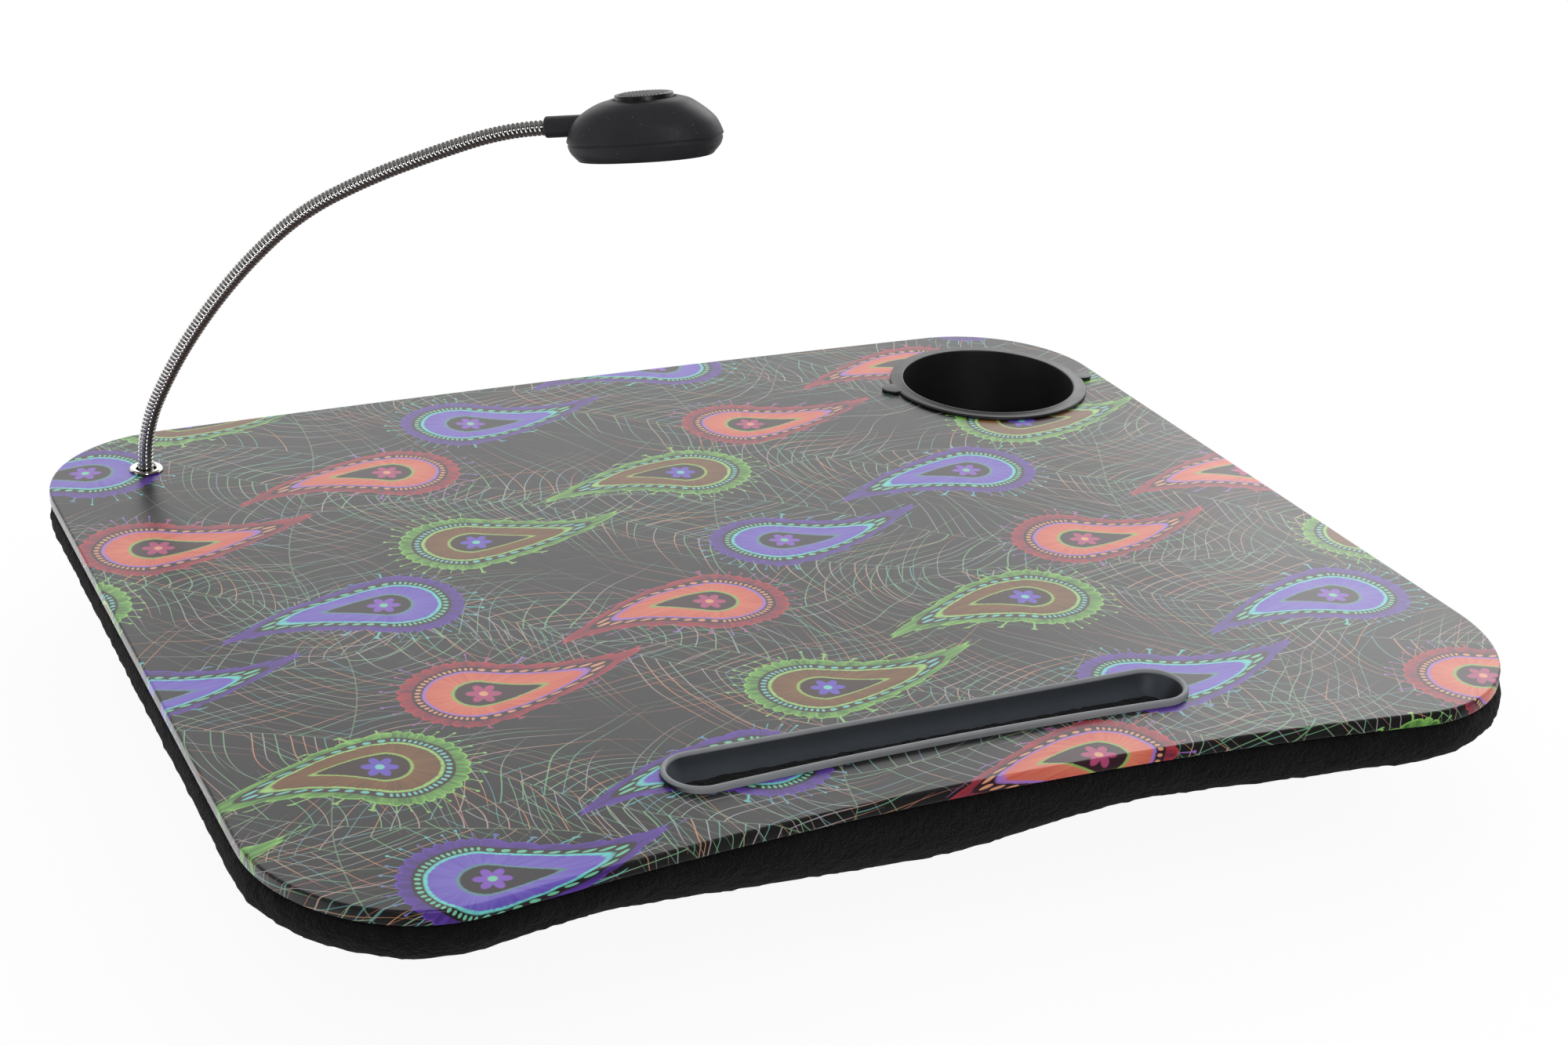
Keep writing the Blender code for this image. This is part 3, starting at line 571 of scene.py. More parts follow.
# %% [markdown]
# Each motif is a curled drop, as in old shawl patterns. Two numbers describe a point in
# it: how far out it lies, 0 in the middle and 1 on the edge, and its angle. Rings of one
# width come from the first, and scallops, beads and stamens from the second. Brush marks
# run outwards, so the colours look painted and not filled in.

# %% The drops

COLORWAYS = {
    "strand": ((0.13, 0.045, 0.44), (0.52, 0.035, 0.045), (0.26, 0.58, 0.12)),
    "tuft": ((0.055, 0.022, 0.17), (0.15, 0.022, 0.05), (0.045, 0.14, 0.03)),
    "body": ((0.12, 0.06, 0.48), (0.62, 0.085, 0.065), (0.12, 0.05, 0.018)),
    "glow": ((0.22, 0.17, 0.60), (0.78, 0.24, 0.14), (0.24, 0.11, 0.03)),
    "ring": ((0.16, 0.70, 0.62), (0.36, 0.18, 0.60), (0.36, 0.66, 0.20)),
    "bead": ((0.20, 0.62, 0.40), (0.80, 0.36, 0.20), (0.20, 0.62, 0.56)),
    "well": ((0.024, 0.018, 0.022), (0.040, 0.014, 0.020), (0.035, 0.014, 0.008)),
    "line": ((0.10, 0.30, 0.26), (0.20, 0.52, 0.11), (0.34, 0.56, 0.14)),
    "heart": ((0.26, 0.10, 0.62), (0.52, 0.07, 0.20), (0.16, 0.10, 0.62)),
}


def drop_shape(x, y, tail, nose, width, hook):
    """(how far out, angle) for a point in a drop with its round end towards -x."""
    ahead = x.highest(0.0)
    taper = 1 - (ahead / nose).lowest(1.0) * 0.74
    across = (y - ahead * ahead * hook) / (taper * width)
    length = (x - ahead) / tail + ahead / nose
    far = (length * length + across * across).math("SQRT")
    return far, across.math("ARCTAN2", length)


def lanes(around, count):
    """(number of a lane round the drop, how far a point is from its middle: -0.5 to 0.5)."""
    lane = around * (count / (2 * math.pi))
    number = lane.floor()
    return number, lane - number - 0.5


def spot(first, second, wide, tall):
    """1 inside an oval, with a soft edge."""
    first, second = first / wide, second / tall
    return 1 - step((first * first + second * second).math("SQRT"), 0.82, 1.08)


def choose(kind, name):
    """The colourway's colour of that name for each motif."""
    violet, red, green = COLORWAYS[name]
    return mix(kind > 1.5, mix(kind > 0.5, violet, red), green)


def stamens(tree, far, number, off, seed):
    """A hair with a bead at its end, out from the middle of each scallop."""
    luck = chance(tree, vector(tree, number, seed, 4.0))
    limit = luck * 0.17 + 1.15
    hair = (1 - step(abs(off), 0.02, 0.055)) * step(far, 0.98, 1.02) * (far < limit)
    return hair.highest(spot(far - limit, off, 0.030, 0.11)) * (luck > 0.12), luck


def motif_layer(tree, x, y, under):
    """The drops in their half-drop repeat, laid over the colour under them."""
    repeat, rise = 0.122, 0.0625
    tall = y / rise
    row = tall.floor()
    odd = row % 2.0
    wide = x / repeat + odd * 0.5
    cell = wide.floor()
    flip = 1 - odd * 2
    drift = (noise(tree, vector(tree, x, y, 2.0), 13.0, 1.0) - 0.5) * 0.012
    lx = (wide - cell - 0.5) * repeat * flip + 0.016
    ly = (tall - row - 0.5) * rise * flip + drift + 0.0045
    kind = (cell + row * 2) % 3.0
    seed = cell + row * 3.7
    wobble = (noise(tree, vector(tree, lx, ly, seed), 110.0, 2.0) - 0.5) * 0.05
    far, angle = drop_shape(lx, ly, 0.0255, 0.058, 0.0228, 8.5)
    far = far + wobble
    around = angle - angle.sine() * 0.325 - (angle * 2.0).sine() * 0.1625
    marks = noise(tree, vector(tree, around * 11.0, far * 1.3, seed), 1.0, 3.0, 0.7)
    fine = noise(tree, vector(tree, around * 30.0, far * 2.5, seed), 1.0, 3.0, 0.7)
    number, off = lanes(around, 30)
    edge = far - (1 - off * off * 4).highest(0.0).math("SQRT") * 0.085
    hair, luck = stamens(tree, far, number, off, seed)
    color = mix(hair * 0.85, under, mix(luck, choose(kind, "strand"), choose(kind, "ring")))
    brushed = (marks * 2.2 - 0.6 - (0.99 - edge) * 1.2).clamp()
    petal = mix(brushed, choose(kind, "tuft"), choose(kind, "strand"))
    color = mix(1 - step(edge, 0.955, 0.985), color, petal)
    thin = 1 - step(abs(edge - 0.965), 0.006, 0.026)
    color = mix(thin * (fine * 1.8).clamp(), color, choose(kind, "strand"))
    color = mix(band(far, 0.70, 0.86, 0.012), color, choose(kind, "well"))
    _, place = lanes(around, 46)
    bead = spot(far - 0.78, place, 0.046, 0.30)
    color = mix(bead * (fine * 0.8 + 0.5).clamp(), color, choose(kind, "bead"))
    paint = mix((marks * 1.7 + far * 0.9 - 0.85).clamp(), choose(kind, "glow"), choose(kind, "body"))
    worn = far + (fine - 0.5) * 0.05
    color = mix(1 - step(worn, 0.685, 0.705), color, paint)
    thin = 1 - step(abs(worn - 0.69), 0.012, 0.040)
    color = mix(thin * (fine * 2.0 - 0.1).clamp(), color, choose(kind, "ring"))
    well, _ = drop_shape(lx - 0.0020, ly - 0.0002, 0.0098, 0.0240, 0.0090, 9.0)
    worn = well + (fine - 0.5) * 0.16
    color = mix(1 - step(worn, 0.88, 0.96), color, choose(kind, "well"))
    color = mix((1 - step(abs(worn - 0.97), 0.02, 0.09)) * 0.9, color, choose(kind, "line"))
    return rosette(tree, lx - 0.0032, ly - 0.0004, kind, fine, color)


def rosette(tree, x, y, kind, fine, under):
    """Six petals round a light dot."""
    far = (x * x + y * y).math("SQRT") / 0.0066
    wave = abs((y.math("ARCTAN2", x) * 3.0).math("COSINE"))
    edge = far / (wave * 0.5 + 0.5)
    color = mix((1 - step(edge, 0.88, 1.02)) * (fine * 0.9 + 0.4).clamp(), under, choose(kind, "heart"))
    return mix(1 - step(far, 0.20, 0.28), color, choose(kind, "bead"))


def film_color(tree, place):
    """Ground, dust, four layers of strokes and the drops, one over the other."""
    u, v, _ = axes(tree, place)
    speckle = noise(tree, place, 900.0, 2.0, 0.7)
    cloud = noise(tree, place, 22.0, 3.0)
    color = mix(speckle * 0.7 + cloud * 0.3, (0.003, 0.003, 0.004), (0.026, 0.024, 0.024))
    dust = noise(tree, place, 1500.0, 1.0, 0.5)
    color = mix(step(dust, 0.70, 0.78) * 0.35, color, (0.20, 0.20, 0.19))
    for degrees, spray in SPRAYS:
        x, y = turned_place(u, v, degrees)
        line, tint, share, stem = sprays(tree, x, y, spray)
        shade = node(tree, "ShaderNodeValToRGB", {"stops": SPRAY_COLORS}, {0: tint * 0.75 + share * 0.25})
        color = mix(stem * 0.55, color, (0.22, 0.34, 0.20))
        color = mix(line * (0.40 + tint * 0.50), color, shade)
    x, y = turned_place(u, v, -18.0, dx=0.031, dy=0.012)
    return motif_layer(tree, x, y, color)


def film_material():
    made, tree = material("printed_film")
    place = node(tree, "ShaderNodeUVMap", {"uv_map": "film"})
    grain = noise(tree, place, 2600.0, 1.0)
    smear = noise(tree, place, 9.0, 2.0)
    sockets = {"Base Color": film_color(tree, place), "Roughness": 0.30 + smear * 0.08, "IOR": 1.40}
    sockets["Normal"] = bump(tree, grain, 0.03, 0.0002)
    return finish_material(made, sockets)


film = film_material()
dress(board, film, "tray", "printed_film", "tray_board")

# %% [markdown]
# ## The cushion
# Under the board hangs a bag of foam beads in a stretched black knit. Its wall follows
# the board's outline, its underside bellies down in the middle and it is flat where it
# rests. The rings follow the CAD's formula with more steps. Then the bag is remeshed and
# inflated by a short cloth simulation, which rounds it as beads do, each point by no more
# than a small cap. The cup is deeper than the cushion's wall, so the cover bulges into a
# pouch round it. There the seen bag is far below the CAD's, and along the right side too:
# the outline has no points on that straight side, which seems to draw the pouch out.

# %% Build the bag
CUSHION_TOP = BOARD_TOP - 0.0058
CUSHION_OUT = 0.0022
BELLY = Vector((-0.032, -0.0086))
POUCH_DEPTH, POUCH_REACH = 0.0300, 0.0560
CLOTH_FRAMES = 20
CLOTH_CAP = 0.0012


def belly(x, y):
    reach = math.hypot(abs(x + 0.032) / 0.2268, abs(y + 0.0086) / 0.207)
    return 0.0402 * (1 - reach**3.22) ** 1.77 if reach < 1 else 0.0


# Places where the filled bag hangs lower or higher: (x, y, reach, extra depth)
SAGS = ((0.125, -0.190, 0.060, 0.0034), (0.235, -0.11, 0.055, 0.0026), (0.000, -0.190, 0.036, 0.0026))
SAGS += ((-0.150, -0.200, 0.028, -0.0016),)


# Places where its flank stands out: (x, y, reach, how far)
SWELLS = ((-0.235, -0.085, 0.060, 0.0040), (0.232, -0.120, 0.075, 0.0070))


def pouch(x, y):
    """The cover bulges round the cup, whose foot is deeper than the cushion's wall."""
    return POUCH_DEPTH * math.exp(-((math.hypot(x - CUP[0], y - CUP[1]) / POUCH_REACH) ** 4))


def humps(places, x, y):
    """The sum of soft round humps at their places."""
    return sum(far * math.exp(-((x - cx) ** 2 + (y - cy) ** 2) / reach**2) for cx, cy, reach, far in places)


def sag(x, y):
    return humps(SAGS, x, y) + pouch(x, y)


def make_bag():
    wall, rounding = 0.016, 0.010
    base = board_outline(14, 16)
    normals = [q - p for p, q in zip(base, offset(base, 1.0))]
    rims = [(-0.008, 0.0), (-0.0010, 0.0), (0.0014, 0.0024), (CUSHION_OUT, wall - rounding)]
    for i in range(1, 5):
        angle = math.radians(20.0) * i
        out = CUSHION_OUT - rounding * (1 - math.cos(angle))
        rims.append((out, wall - rounding + rounding * math.sin(angle)))
    rings = []
    for out, drop in rims:
        ring = []
        share = drop / wall
        for p, normal in zip(offset(base, out), normals):
            depth = share * (wall + belly(p.x, p.y) + sag(p.x, p.y))
            p = p + normal * (share * humps(SWELLS, p.x, p.y))
            ring.append(Vector((p.x, p.y, max(CUSHION_TOP - depth, 0.0))))
        rings.append(ring)
    edge = offset(base, CUSHION_OUT - rounding)
    edge = [p + normal * humps(SWELLS, p.x, p.y) for p, normal in zip(edge, normals)]
    for share in (0.97, 0.94, 0.90, 0.86, 0.82, 0.78, 0.73, 0.68, 0.62, 0.56, 0.48, 0.40, 0.30, 0.20, 0.10):
        ring = []
        for p in edge:
            q = BELLY + share * (p - BELLY)
            depth = wall + belly(q.x, q.y) + sag(q.x, q.y)
            ring.append(Vector((q.x, q.y, max(CUSHION_TOP - depth, 0.0))))
        rings.append(ring)
    return ring_piece("knit_cushion", rings)


cushion = make_bag()
print("bag of", len(cushion.data.polygons), "faces")

# %% Remesh and inflate the bag


def simulate(obj, cap):
    """A short pressure cloth, held where the bag is glued to the board, its moves capped."""
    rest = np.array([v.co for v in obj.data.vertices], float)
    held = obj.vertex_groups.new(name="glued")
    for v in obj.data.vertices:
        near = 1.0 if v.co.z > CUSHION_TOP - 0.003 else 0.0
        held.add([v.index], near, "REPLACE")
    activate(obj)
    cloth = obj.modifiers.new("cloth", "CLOTH")
    cloth.settings.quality = 5
    cloth.settings.mass = 0.3
    cloth.settings.tension_stiffness = 25
    cloth.settings.compression_stiffness = 20
    cloth.settings.use_pressure = True
    cloth.settings.uniform_pressure_force = 4.0
    cloth.settings.effector_weights.gravity = 0.0
    cloth.settings.vertex_group_mass = "glued"
    cloth.point_cache.frame_start = 1
    cloth.point_cache.frame_end = CLOTH_FRAMES
    for number in range(1, CLOTH_FRAMES + 1):
        scene.frame_set(number)
    graph = bpy.context.evaluated_depsgraph_get()
    mesh = obj.evaluated_get(graph).to_mesh()
    moved = np.array([v.co for v in mesh.vertices], float) - rest
    obj.evaluated_get(graph).to_mesh_clear()
    obj.modifiers.remove(cloth)
    scene.frame_set(1)
    length = np.linalg.norm(moved, axis=1)
    moved *= (cap * np.tanh(length / cap) / np.maximum(length, 1e-9))[:, None]
    final = rest + moved
    final[:, 2] = np.maximum(final[:, 2], 0.0)
    obj.data.vertices.foreach_set("co", final.ravel())
    obj.vertex_groups.clear()
    most = float(np.linalg.norm(moved, axis=1).max())
    print("cloth moved points by up to", round(most * 1000, 2), "mm")


apply(cushion, "REMESH", mode="VOXEL", voxel_size=0.005)
simulate(cushion, CLOTH_CAP)
apply(cushion, "SUBSURF", levels=1, render_levels=1)
pile = bpy.data.textures.new("pile", "CLOUDS")
pile.noise_scale = 0.0036
apply(cushion, "DISPLACE", texture=pile, strength=0.0015, mid_level=0.5, texture_coords="LOCAL")
smooth(cushion, 80.0)
print("cushion of", len(cushion.data.polygons), "faces")

# %% Cut the pocket for the cup
POCKET_FLOOR = BOARD_TOP - 0.0416
POCKET_RADIUS = 0.0416
profile = [(POCKET_RADIUS, 0.08), (POCKET_RADIUS, POCKET_FLOOR)]
subtract(cushion, turned("pocket_punch", profile, 96, CUP))

# %% [markdown]
# The knit is a black brushed fabric, like thin fleece. Up close it has a fine, uneven
# pile that catches light at its edges. A weave pattern would be too regular. The mesh has
# the coarse pile already. Three sizes of noise make it finer, and a faint sheen lifts the
# edges.

# %% Knit material


def knit_material():
    made, tree = material("black_knit")
    place = object_place(tree)
    pile = noise(tree, place, 420.0, 3.0, 0.65)
    tufts = noise(tree, place, 1300.0, 2.0, 0.6)
    rumple = noise(tree, place, 34.0, 2.0)
    shade = mix(pile * 0.6 + tufts * 0.4, (0.0006, 0.0006, 0.0008), (0.009, 0.009, 0.010))
    height = pile * 0.9 + tufts * 0.4 + rumple * 0.5
    return finish_material(
        made,
        {
            "Base Color": shade,
            "Roughness": 0.92,
            "Specular IOR Level": 0.06,
            "Sheen Weight": 0.06,
            "Sheen Roughness": 0.6,
            "Normal": bump(tree, height, 1.0, 0.0018),
        },
    )


dress(cushion, knit_material(), "tray", "knit", "cushion_cover", "bead_fill")

# %% [markdown]
# ## The cup
# A lift-out cup of matte black plastic sits in the board by its flange, and two small
# tabs help to lift it. It is a lathe shape, so its rings are circles. The tabs are flat
# tongues, joined on with a Boolean.

# %% Turn the cup and join its tabs


def make_cup():
    z = BOARD_TOP
    top = z + 0.0016
    outer, inner, taper, rounding = 0.0405, 0.0391, 0.0022, 0.004
    floor = z - 0.0390
    profile = []
    foot = inner - taper - rounding
    for angle in quarter(5):
        profile.append((foot + rounding * math.sin(angle), floor + rounding * (1 - math.cos(angle))))
    for angle in quarter(4):
        out, down = 0.0006 * (1 - math.cos(angle)), 0.0006 * (1 - math.sin(angle))
        profile.append((inner + out, top + 0.0003 - down))
    profile += [(inner + 0.0011, top + 0.0002), (inner + 0.0014, top)]
    profile += [(0.0440, top), (0.0446, top - 0.0001), (0.0449, top - 0.0003), (0.0451, top - 0.0007)]
    profile += [(0.0450, top - 0.0011), (0.0447, z + 0.0003), (outer, z + 0.0003)]
    foot, low = outer - taper, floor - 0.0018
    for angle in quarter(5):
        profile.append((foot - rounding * (1 - math.cos(angle)), low + rounding * (1 - math.sin(angle))))
    return turned("cup", profile, 128, CUP)


def make_tab(angle):
    """A flat tongue with a round end, with its foot inside the flange."""
    start, reach, half, fillet = 0.0404, 0.0461, 0.0052, 0.0016
    points = arc((reach, 0), (half, half), -math.pi * 0.62, math.pi * 0.62, 20)
    neck = points[-1]
    foot = [neck + Vector((-0.0014, 0.0006)), neck + Vector((-0.0026, fillet + 0.0010))]
    foot.append(Vector((start, half + 0.0030)))
    points = [Vector((p.x, -p.y)) for p in reversed(foot)] + points + foot
    spin = Matrix.Rotation(angle, 2)
    points = [spin @ p + Vector(CUP) for p in points]
    return prism("tab", points, BOARD_TOP + 0.0003, BOARD_TOP + 0.00158)


cup = make_cup()
for degrees in (172.0, -7.0):
    tab = make_tab(math.radians(degrees))
    apply(tab, "BEVEL", width=0.0005, segments=4, limit_method="ANGLE", angle_limit=math.radians(50))
    subtract(cup, tab, "UNION")
smooth(cup, 40.0)
print("cup of", len(cup.data.polygons), "faces")

# %% [markdown]
# Moulded black plastic isn't one flat colour: it has a fine grain from the mould, duller
# and shinier areas and a little dust. Two sizes of noise vary its tone, its roughness and
# its surface. Where a piece is dusty, specks of pale grey lie on it in patches.

# %% Moulded plastic


DUST_COLOR = (0.35, 0.35, 0.36)


def plastic_material(name, dark, light, roughness, grain_scale=1400.0, grain=0.12, dust=0.0, gloss=0.5):
    made, tree = material(name)
    place = object_place(tree)
    tone = noise(tree, place, 90.0, 3.0)
    grit = noise(tree, place, grain_scale, 2.0, 0.6)
    color = mix(tone * 0.6 + grit * 0.4, dark, light)
    if dust:
        speck = node(tree, "ShaderNodeTexVoronoi", {"feature": "F1"}, {"Vector": place, "Scale": 420.0})
        luck = noise(tree, place, 160.0, 1.0)
        color = mix((1 - step(speck, 0.04, 0.09)) * step(luck, 0.52, 0.58) * dust, color, DUST_COLOR)
    return finish_material(
        made,
        {
            "Base Color": color,
            "Roughness": roughness + (tone - 0.5) * 0.16,
            "Specular IOR Level": gloss,
            "Normal": bump(tree, grit, grain, 0.0003),
        },
    )


cup_plastic = plastic_material("cup_plastic", (0.007, 0.007, 0.0075), (0.020, 0.020, 0.021), 0.40)
dress(cup, cup_plastic, "cup", "cup_plastic", "cup_holder")

# %% [markdown]
# ## The pen groove
# A long moulded insert lies in the board near its front. It has a narrow satin rim and
# a dark, smooth trough. Its rings follow the same round-ended outline, drawn in step by
# step. Rim and trough are two finishes on one piece. The trough's far wall carries a
# painted reflection, a lighter band, and its floor painted shade, darker, because
# reflections alone didn't set them apart.

# %% Build the pen insert
PEN_RIM = 0.0021


def make_pen_groove():
    z = BOARD_TOP
    rows = [(0.0, z + 0.0002), (0.0001, z + 0.0016), (0.0004, z + 0.0022), (0.0008, z + 0.0025)]
    rows += [(0.0014, z + 0.0025), (0.0019, z + 0.0022), (PEN_RIM, z + 0.0017)]
    half = PEN_WIDTH / 2 - PEN_RIM
    for i in range(1, 16):
        share = i / 16
        rows.append((PEN_RIM + half * share, z + 0.0017 - 0.0103 * (1 - (1 - share) ** 2.3)))
    rings = [[Vector((p.x, p.y, height)) for p in pen_outline(inset, 12)] for inset, height in rows]
    return ring_piece("pen_groove", rings, first_cap=False)


pen = make_pen_groove()
apply(pen, "SOLIDIFY", thickness=0.0012, offset=-1.0)
smooth(pen, 40.0)
print("pen groove of", len(pen.data.polygons), "faces")

# %% Two finishes on the insert


def pen_material():
    made, tree = material("pen_insert")
    place = object_place(tree)
    _, deep, height = axes(tree, place)
    rim = step(height, BOARD_TOP + 0.0011, BOARD_TOP + 0.0018)
    side = step(deep, PEN[1] - 0.0060, PEN[1] - 0.0120)
    rim = rim.highest(side * step(height, BOARD_TOP - 0.0002, BOARD_TOP + 0.0002))
    tone = noise(tree, place, 120.0, 3.0)
    grit = noise(tree, place, 1800.0, 1.0)
    across = deep - PEN[1]
    # Painted reflection: a lighter band on the trough's far wall. Painted shade: its darker floor below.
    wall = step(across, -0.0020, 0.0055) * (1 - step(across, 0.0075, 0.0105) * 0.6)
    trough = mix(wall, (0.009, 0.010, 0.013), mix(tone, (0.044, 0.054, 0.068), (0.058, 0.070, 0.088)))
    color = mix(rim, trough, mix(tone, (0.235, 0.245, 0.255), (0.310, 0.322, 0.334)))
    return finish_material(
        made,
        {
            "Base Color": color,
            "Roughness": 0.50 + (tone - 0.5) * 0.08,
            "Specular IOR Level": 0.35,
            "Normal": bump(tree, grit, 0.06, 0.0002),
        },
    )


dress(pen, pen_material(), "tray", "insert_plastic", "pen_tray")

# %% [markdown]
# ## The eyelet
# The neck comes up through a nickel-plated eyelet. It is a small ring with a rolled
# flange, another lathe shape.

# %% Turn the eyelet


def make_eyelet():
    z = BOARD_TOP
    inner, outer, flange = 0.0040, 0.0045, 0.0068
    profile = [(outer, z - 0.0069), (outer, z + 0.0003), (flange - 0.0003, z + 0.0003)]
    for i in range(9):
        angle = math.pi * i / 8
        mid, half = (inner + flange) / 2, (flange - inner) / 2
        profile.append((mid + half * math.cos(angle), z + 0.0004 + 0.0009 * math.sin(angle) ** 0.8))
    profile += [(inner, z - 0.0069)]
    return turned("eyelet_ring", profile, 64, NECK, first_cap=False, last_cap=False, loop=True)


def metal_material(name, color, roughness, scuff=0.06, brushed=(1.0, 1.0, 1.0)):
    made, tree = material(name)
    place = object_place(tree)
    tone = noise(tree, stretch(tree, place, brushed), 260.0, 3.0)
    fine = noise(tree, stretch(tree, place, brushed), 2200.0, 1.0)
    shade = mix(tone, tuple(0.82 * c for c in color), color)
    return finish_material(
        made,
        {
            "Base Color": shade,
            "Metallic": 1.0,
            "Roughness": roughness + (tone - 0.5) * scuff,
            "Normal": bump(tree, fine, 0.04, 0.0001),
        },
    )


eyelet = make_eyelet()
smooth(eyelet, 40.0)
nickel = metal_material("nickel_plate", (0.72, 0.69, 0.62), 0.10)
dress(eyelet, nickel, "tray", "nickel", "board_eyelet")

# %% [markdown]
# ## The wound neck
# The neck is a tube wound from steel wire, which bends and stays. It could be a plain
# tube with a bump, but its silhouette shows every turn. So each stretch is a strip of
# mesh that runs round the neck in one long screw thread. The neck has eight bends, and
# each stretch reaches from the middle of one link to the middle of the next, over the
# joint between them.

# %% The neck's line
LINK = 0.03075
BENDS = [math.radians(value) for value in (24.7, 7.3, 6.4, 6.9, 13.6, 5.6, 2.9, 14.2)]
AZIMUTH = math.radians(-36.0)
FOOT = Vector((NECK[0], NECK[1], BOARD_TOP + 0.0025))
OUT = Vector((math.cos(AZIMUTH), math.sin(AZIMUTH), 0.0))
SIDE = Vector((-math.sin(AZIMUTH), math.cos(AZIMUTH), 0.0))
UP = Vector((0, 0, 1))


def neck_place(distance):
    """(point, direction) on the neck's middle line, at a distance from its foot."""
    point, lean = FOOT.copy(), 0.0
    if distance < 0:
        return point + UP * distance, UP.copy()
    for bend in BENDS:
        along = min(distance, LINK)
        radius = LINK / bend
        angle = along / radius
        x, z = radius * (1 - math.cos(angle)), radius * math.sin(angle)
        ahead = UP * math.cos(lean) + OUT * math.sin(lean)
        across = OUT * math.cos(lean) - UP * math.sin(lean)
        point = point + ahead * z + across * x
        lean += angle
        distance -= along
        if distance <= 0:
            break
    ahead = UP * math.cos(lean) + OUT * math.sin(lean)
    return point + ahead * max(distance, 0.0), ahead


print("neck ends at", tuple(round(v, 4) for v in neck_place(LINK * 8)[0]))

# %% Wind one stretch of wire
PITCH = LINK / 17
AROUND = 24
NECK_ROOT, NECK_END = -0.0115, 8 * LINK + 0.006
THREAD = ((0.0, 0.00272), (0.07, 0.00288), (0.20, 0.00306), (0.35, 0.00315), (0.5, 0.00318), (0.65, 0.00315),
          (0.80, 0.00306), (0.93, 0.00288))


def wind(name, start, end):
    """A screw thread from start to end along the neck, as one circle spun along it."""
    first = int(round(start / PITCH * AROUND))
    last = int(round(end / PITCH * AROUND))
    rows = []
    for phase, radius in THREAD:
        row = []
        for k in range(first, last + 1):
            angle = 2 * math.pi * k / AROUND
            point, ahead = neck_place((k / AROUND + phase) * PITCH)
            across = SIDE.cross(ahead)
            row.append(point + (across * math.cos(angle) + SIDE * math.sin(angle)) * radius)
        rows.append(row)
    count = last - first + 1
    faces = []
    for j in range(len(THREAD)):
        for i in range(count - 1 - AROUND):
            a, b = j * count + i, (j + 1) * count + i
            if j + 1 == len(THREAD):
                b = i + AROUND
            faces.append((a, a + 1, b + 1, b))
    mesh = bpy.data.meshes.new(name)
    mesh.from_pydata([point for row in rows for point in row], [], faces)
    obj = bpy.data.objects.new(name, mesh)
    scene.collection.objects.link(obj)
    activate(obj)
    bpy.ops.object.mode_set(mode="EDIT")
    bpy.ops.mesh.select_all(action="SELECT")
    bpy.ops.mesh.delete_loose()
    bpy.ops.mesh.select_all(action="SELECT")
    bpy.ops.mesh.normals_make_consistent(inside=False)
    bpy.ops.object.mode_set(mode="OBJECT")
    bpy.ops.object.shade_smooth()
    return obj


steel = metal_material("wound_steel", (0.62, 0.61, 0.60), 0.10, 0.03)
for number in range(1, 9):
    hinge = (number - 1) * LINK
    low = NECK_ROOT if number == 1 else hinge - LINK / 2
    skin = wind(f"neck_winding_{number}", low, hinge + LINK / 2 + PITCH)
    half = LINK * 0.42
    begin = neck_place(hinge - half)[0]
    stop = neck_place(hinge + half)[0]
    nodes = ["neck_root", "neck_link_1"] if number == 1 else [f"neck_link_{number}"]
    dress(skin, steel, None, "neck_metal", *nodes)
    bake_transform(skin)
    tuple(begin)
    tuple(stop)
tail = wind("neck_winding_9", 7.5 * LINK, NECK_END + PITCH)
dress(tail, steel, "lamp", "neck_metal")

# %% [markdown]
# ## The lamp head
# The head is a soft pebble of black rubbery plastic in two shells, with a faint line
# where they meet. The neck goes into it through a short sleeve, and a round ridged
# button stands on top. Its rings are rounded ovals that shrink and shift towards the
# crown. A smooth curve through the CAD's few levels gives many finer ones. A thin inner
# lip on the lower shell keeps light out of the line.

# %% The head's own frame
HEAD_LENGTH, HEAD_WIDTH, HEAD_LOW, HEAD_HIGH = 0.061, 0.0416, 0.0068, 0.0152
CROWN, CROWN_X = 0.0122, 0.0016
SLEEVE_REACH, SLEEVE_RISE = 0.0070, 0.0060
head_roll = math.radians(-8.0)
mouth, ahead = neck_place(LINK * 8)
level = ahead.cross(SIDE)
head_side = SIDE * math.cos(head_roll) + level * math.sin(head_roll)
head_up = level * math.cos(head_roll) - SIDE * math.sin(head_roll)
HEAD = Matrix((ahead, head_side, head_up)).transposed().to_4x4()
HEAD.translation = mouth + ahead * (SLEEVE_REACH + HEAD_LENGTH / 2) - head_up * SLEEVE_RISE
print("head at", tuple(round(value, 5) for value in HEAD.translation))


def to_head(rings):
    return [[HEAD @ point for point in ring] for ring in rings]


def pebble(share_x, share_y, shift, height, core=0.0, count=96):
    """A rounded oval from the core's circle (0) to the full plan (1), shorter towards the neck."""
    half_y = core + share_y * (HEAD_WIDTH / 2 - core)
    ring = []
    for i in range(count):
        angle = 2 * math.pi * i / count
        c, s = math.cos(angle), math.sin(angle)
        reach = HEAD_LENGTH / 2 * (1.0 if c > 0 else 0.955)
        x = abs(c) ** 0.88 * math.copysign(core + share_x * (reach - core), c)
        y = abs(s) ** 0.88 * math.copysign(half_y, s)
        ring.append(Vector((x + shift * CROWN_X, y, height)))
    return ring


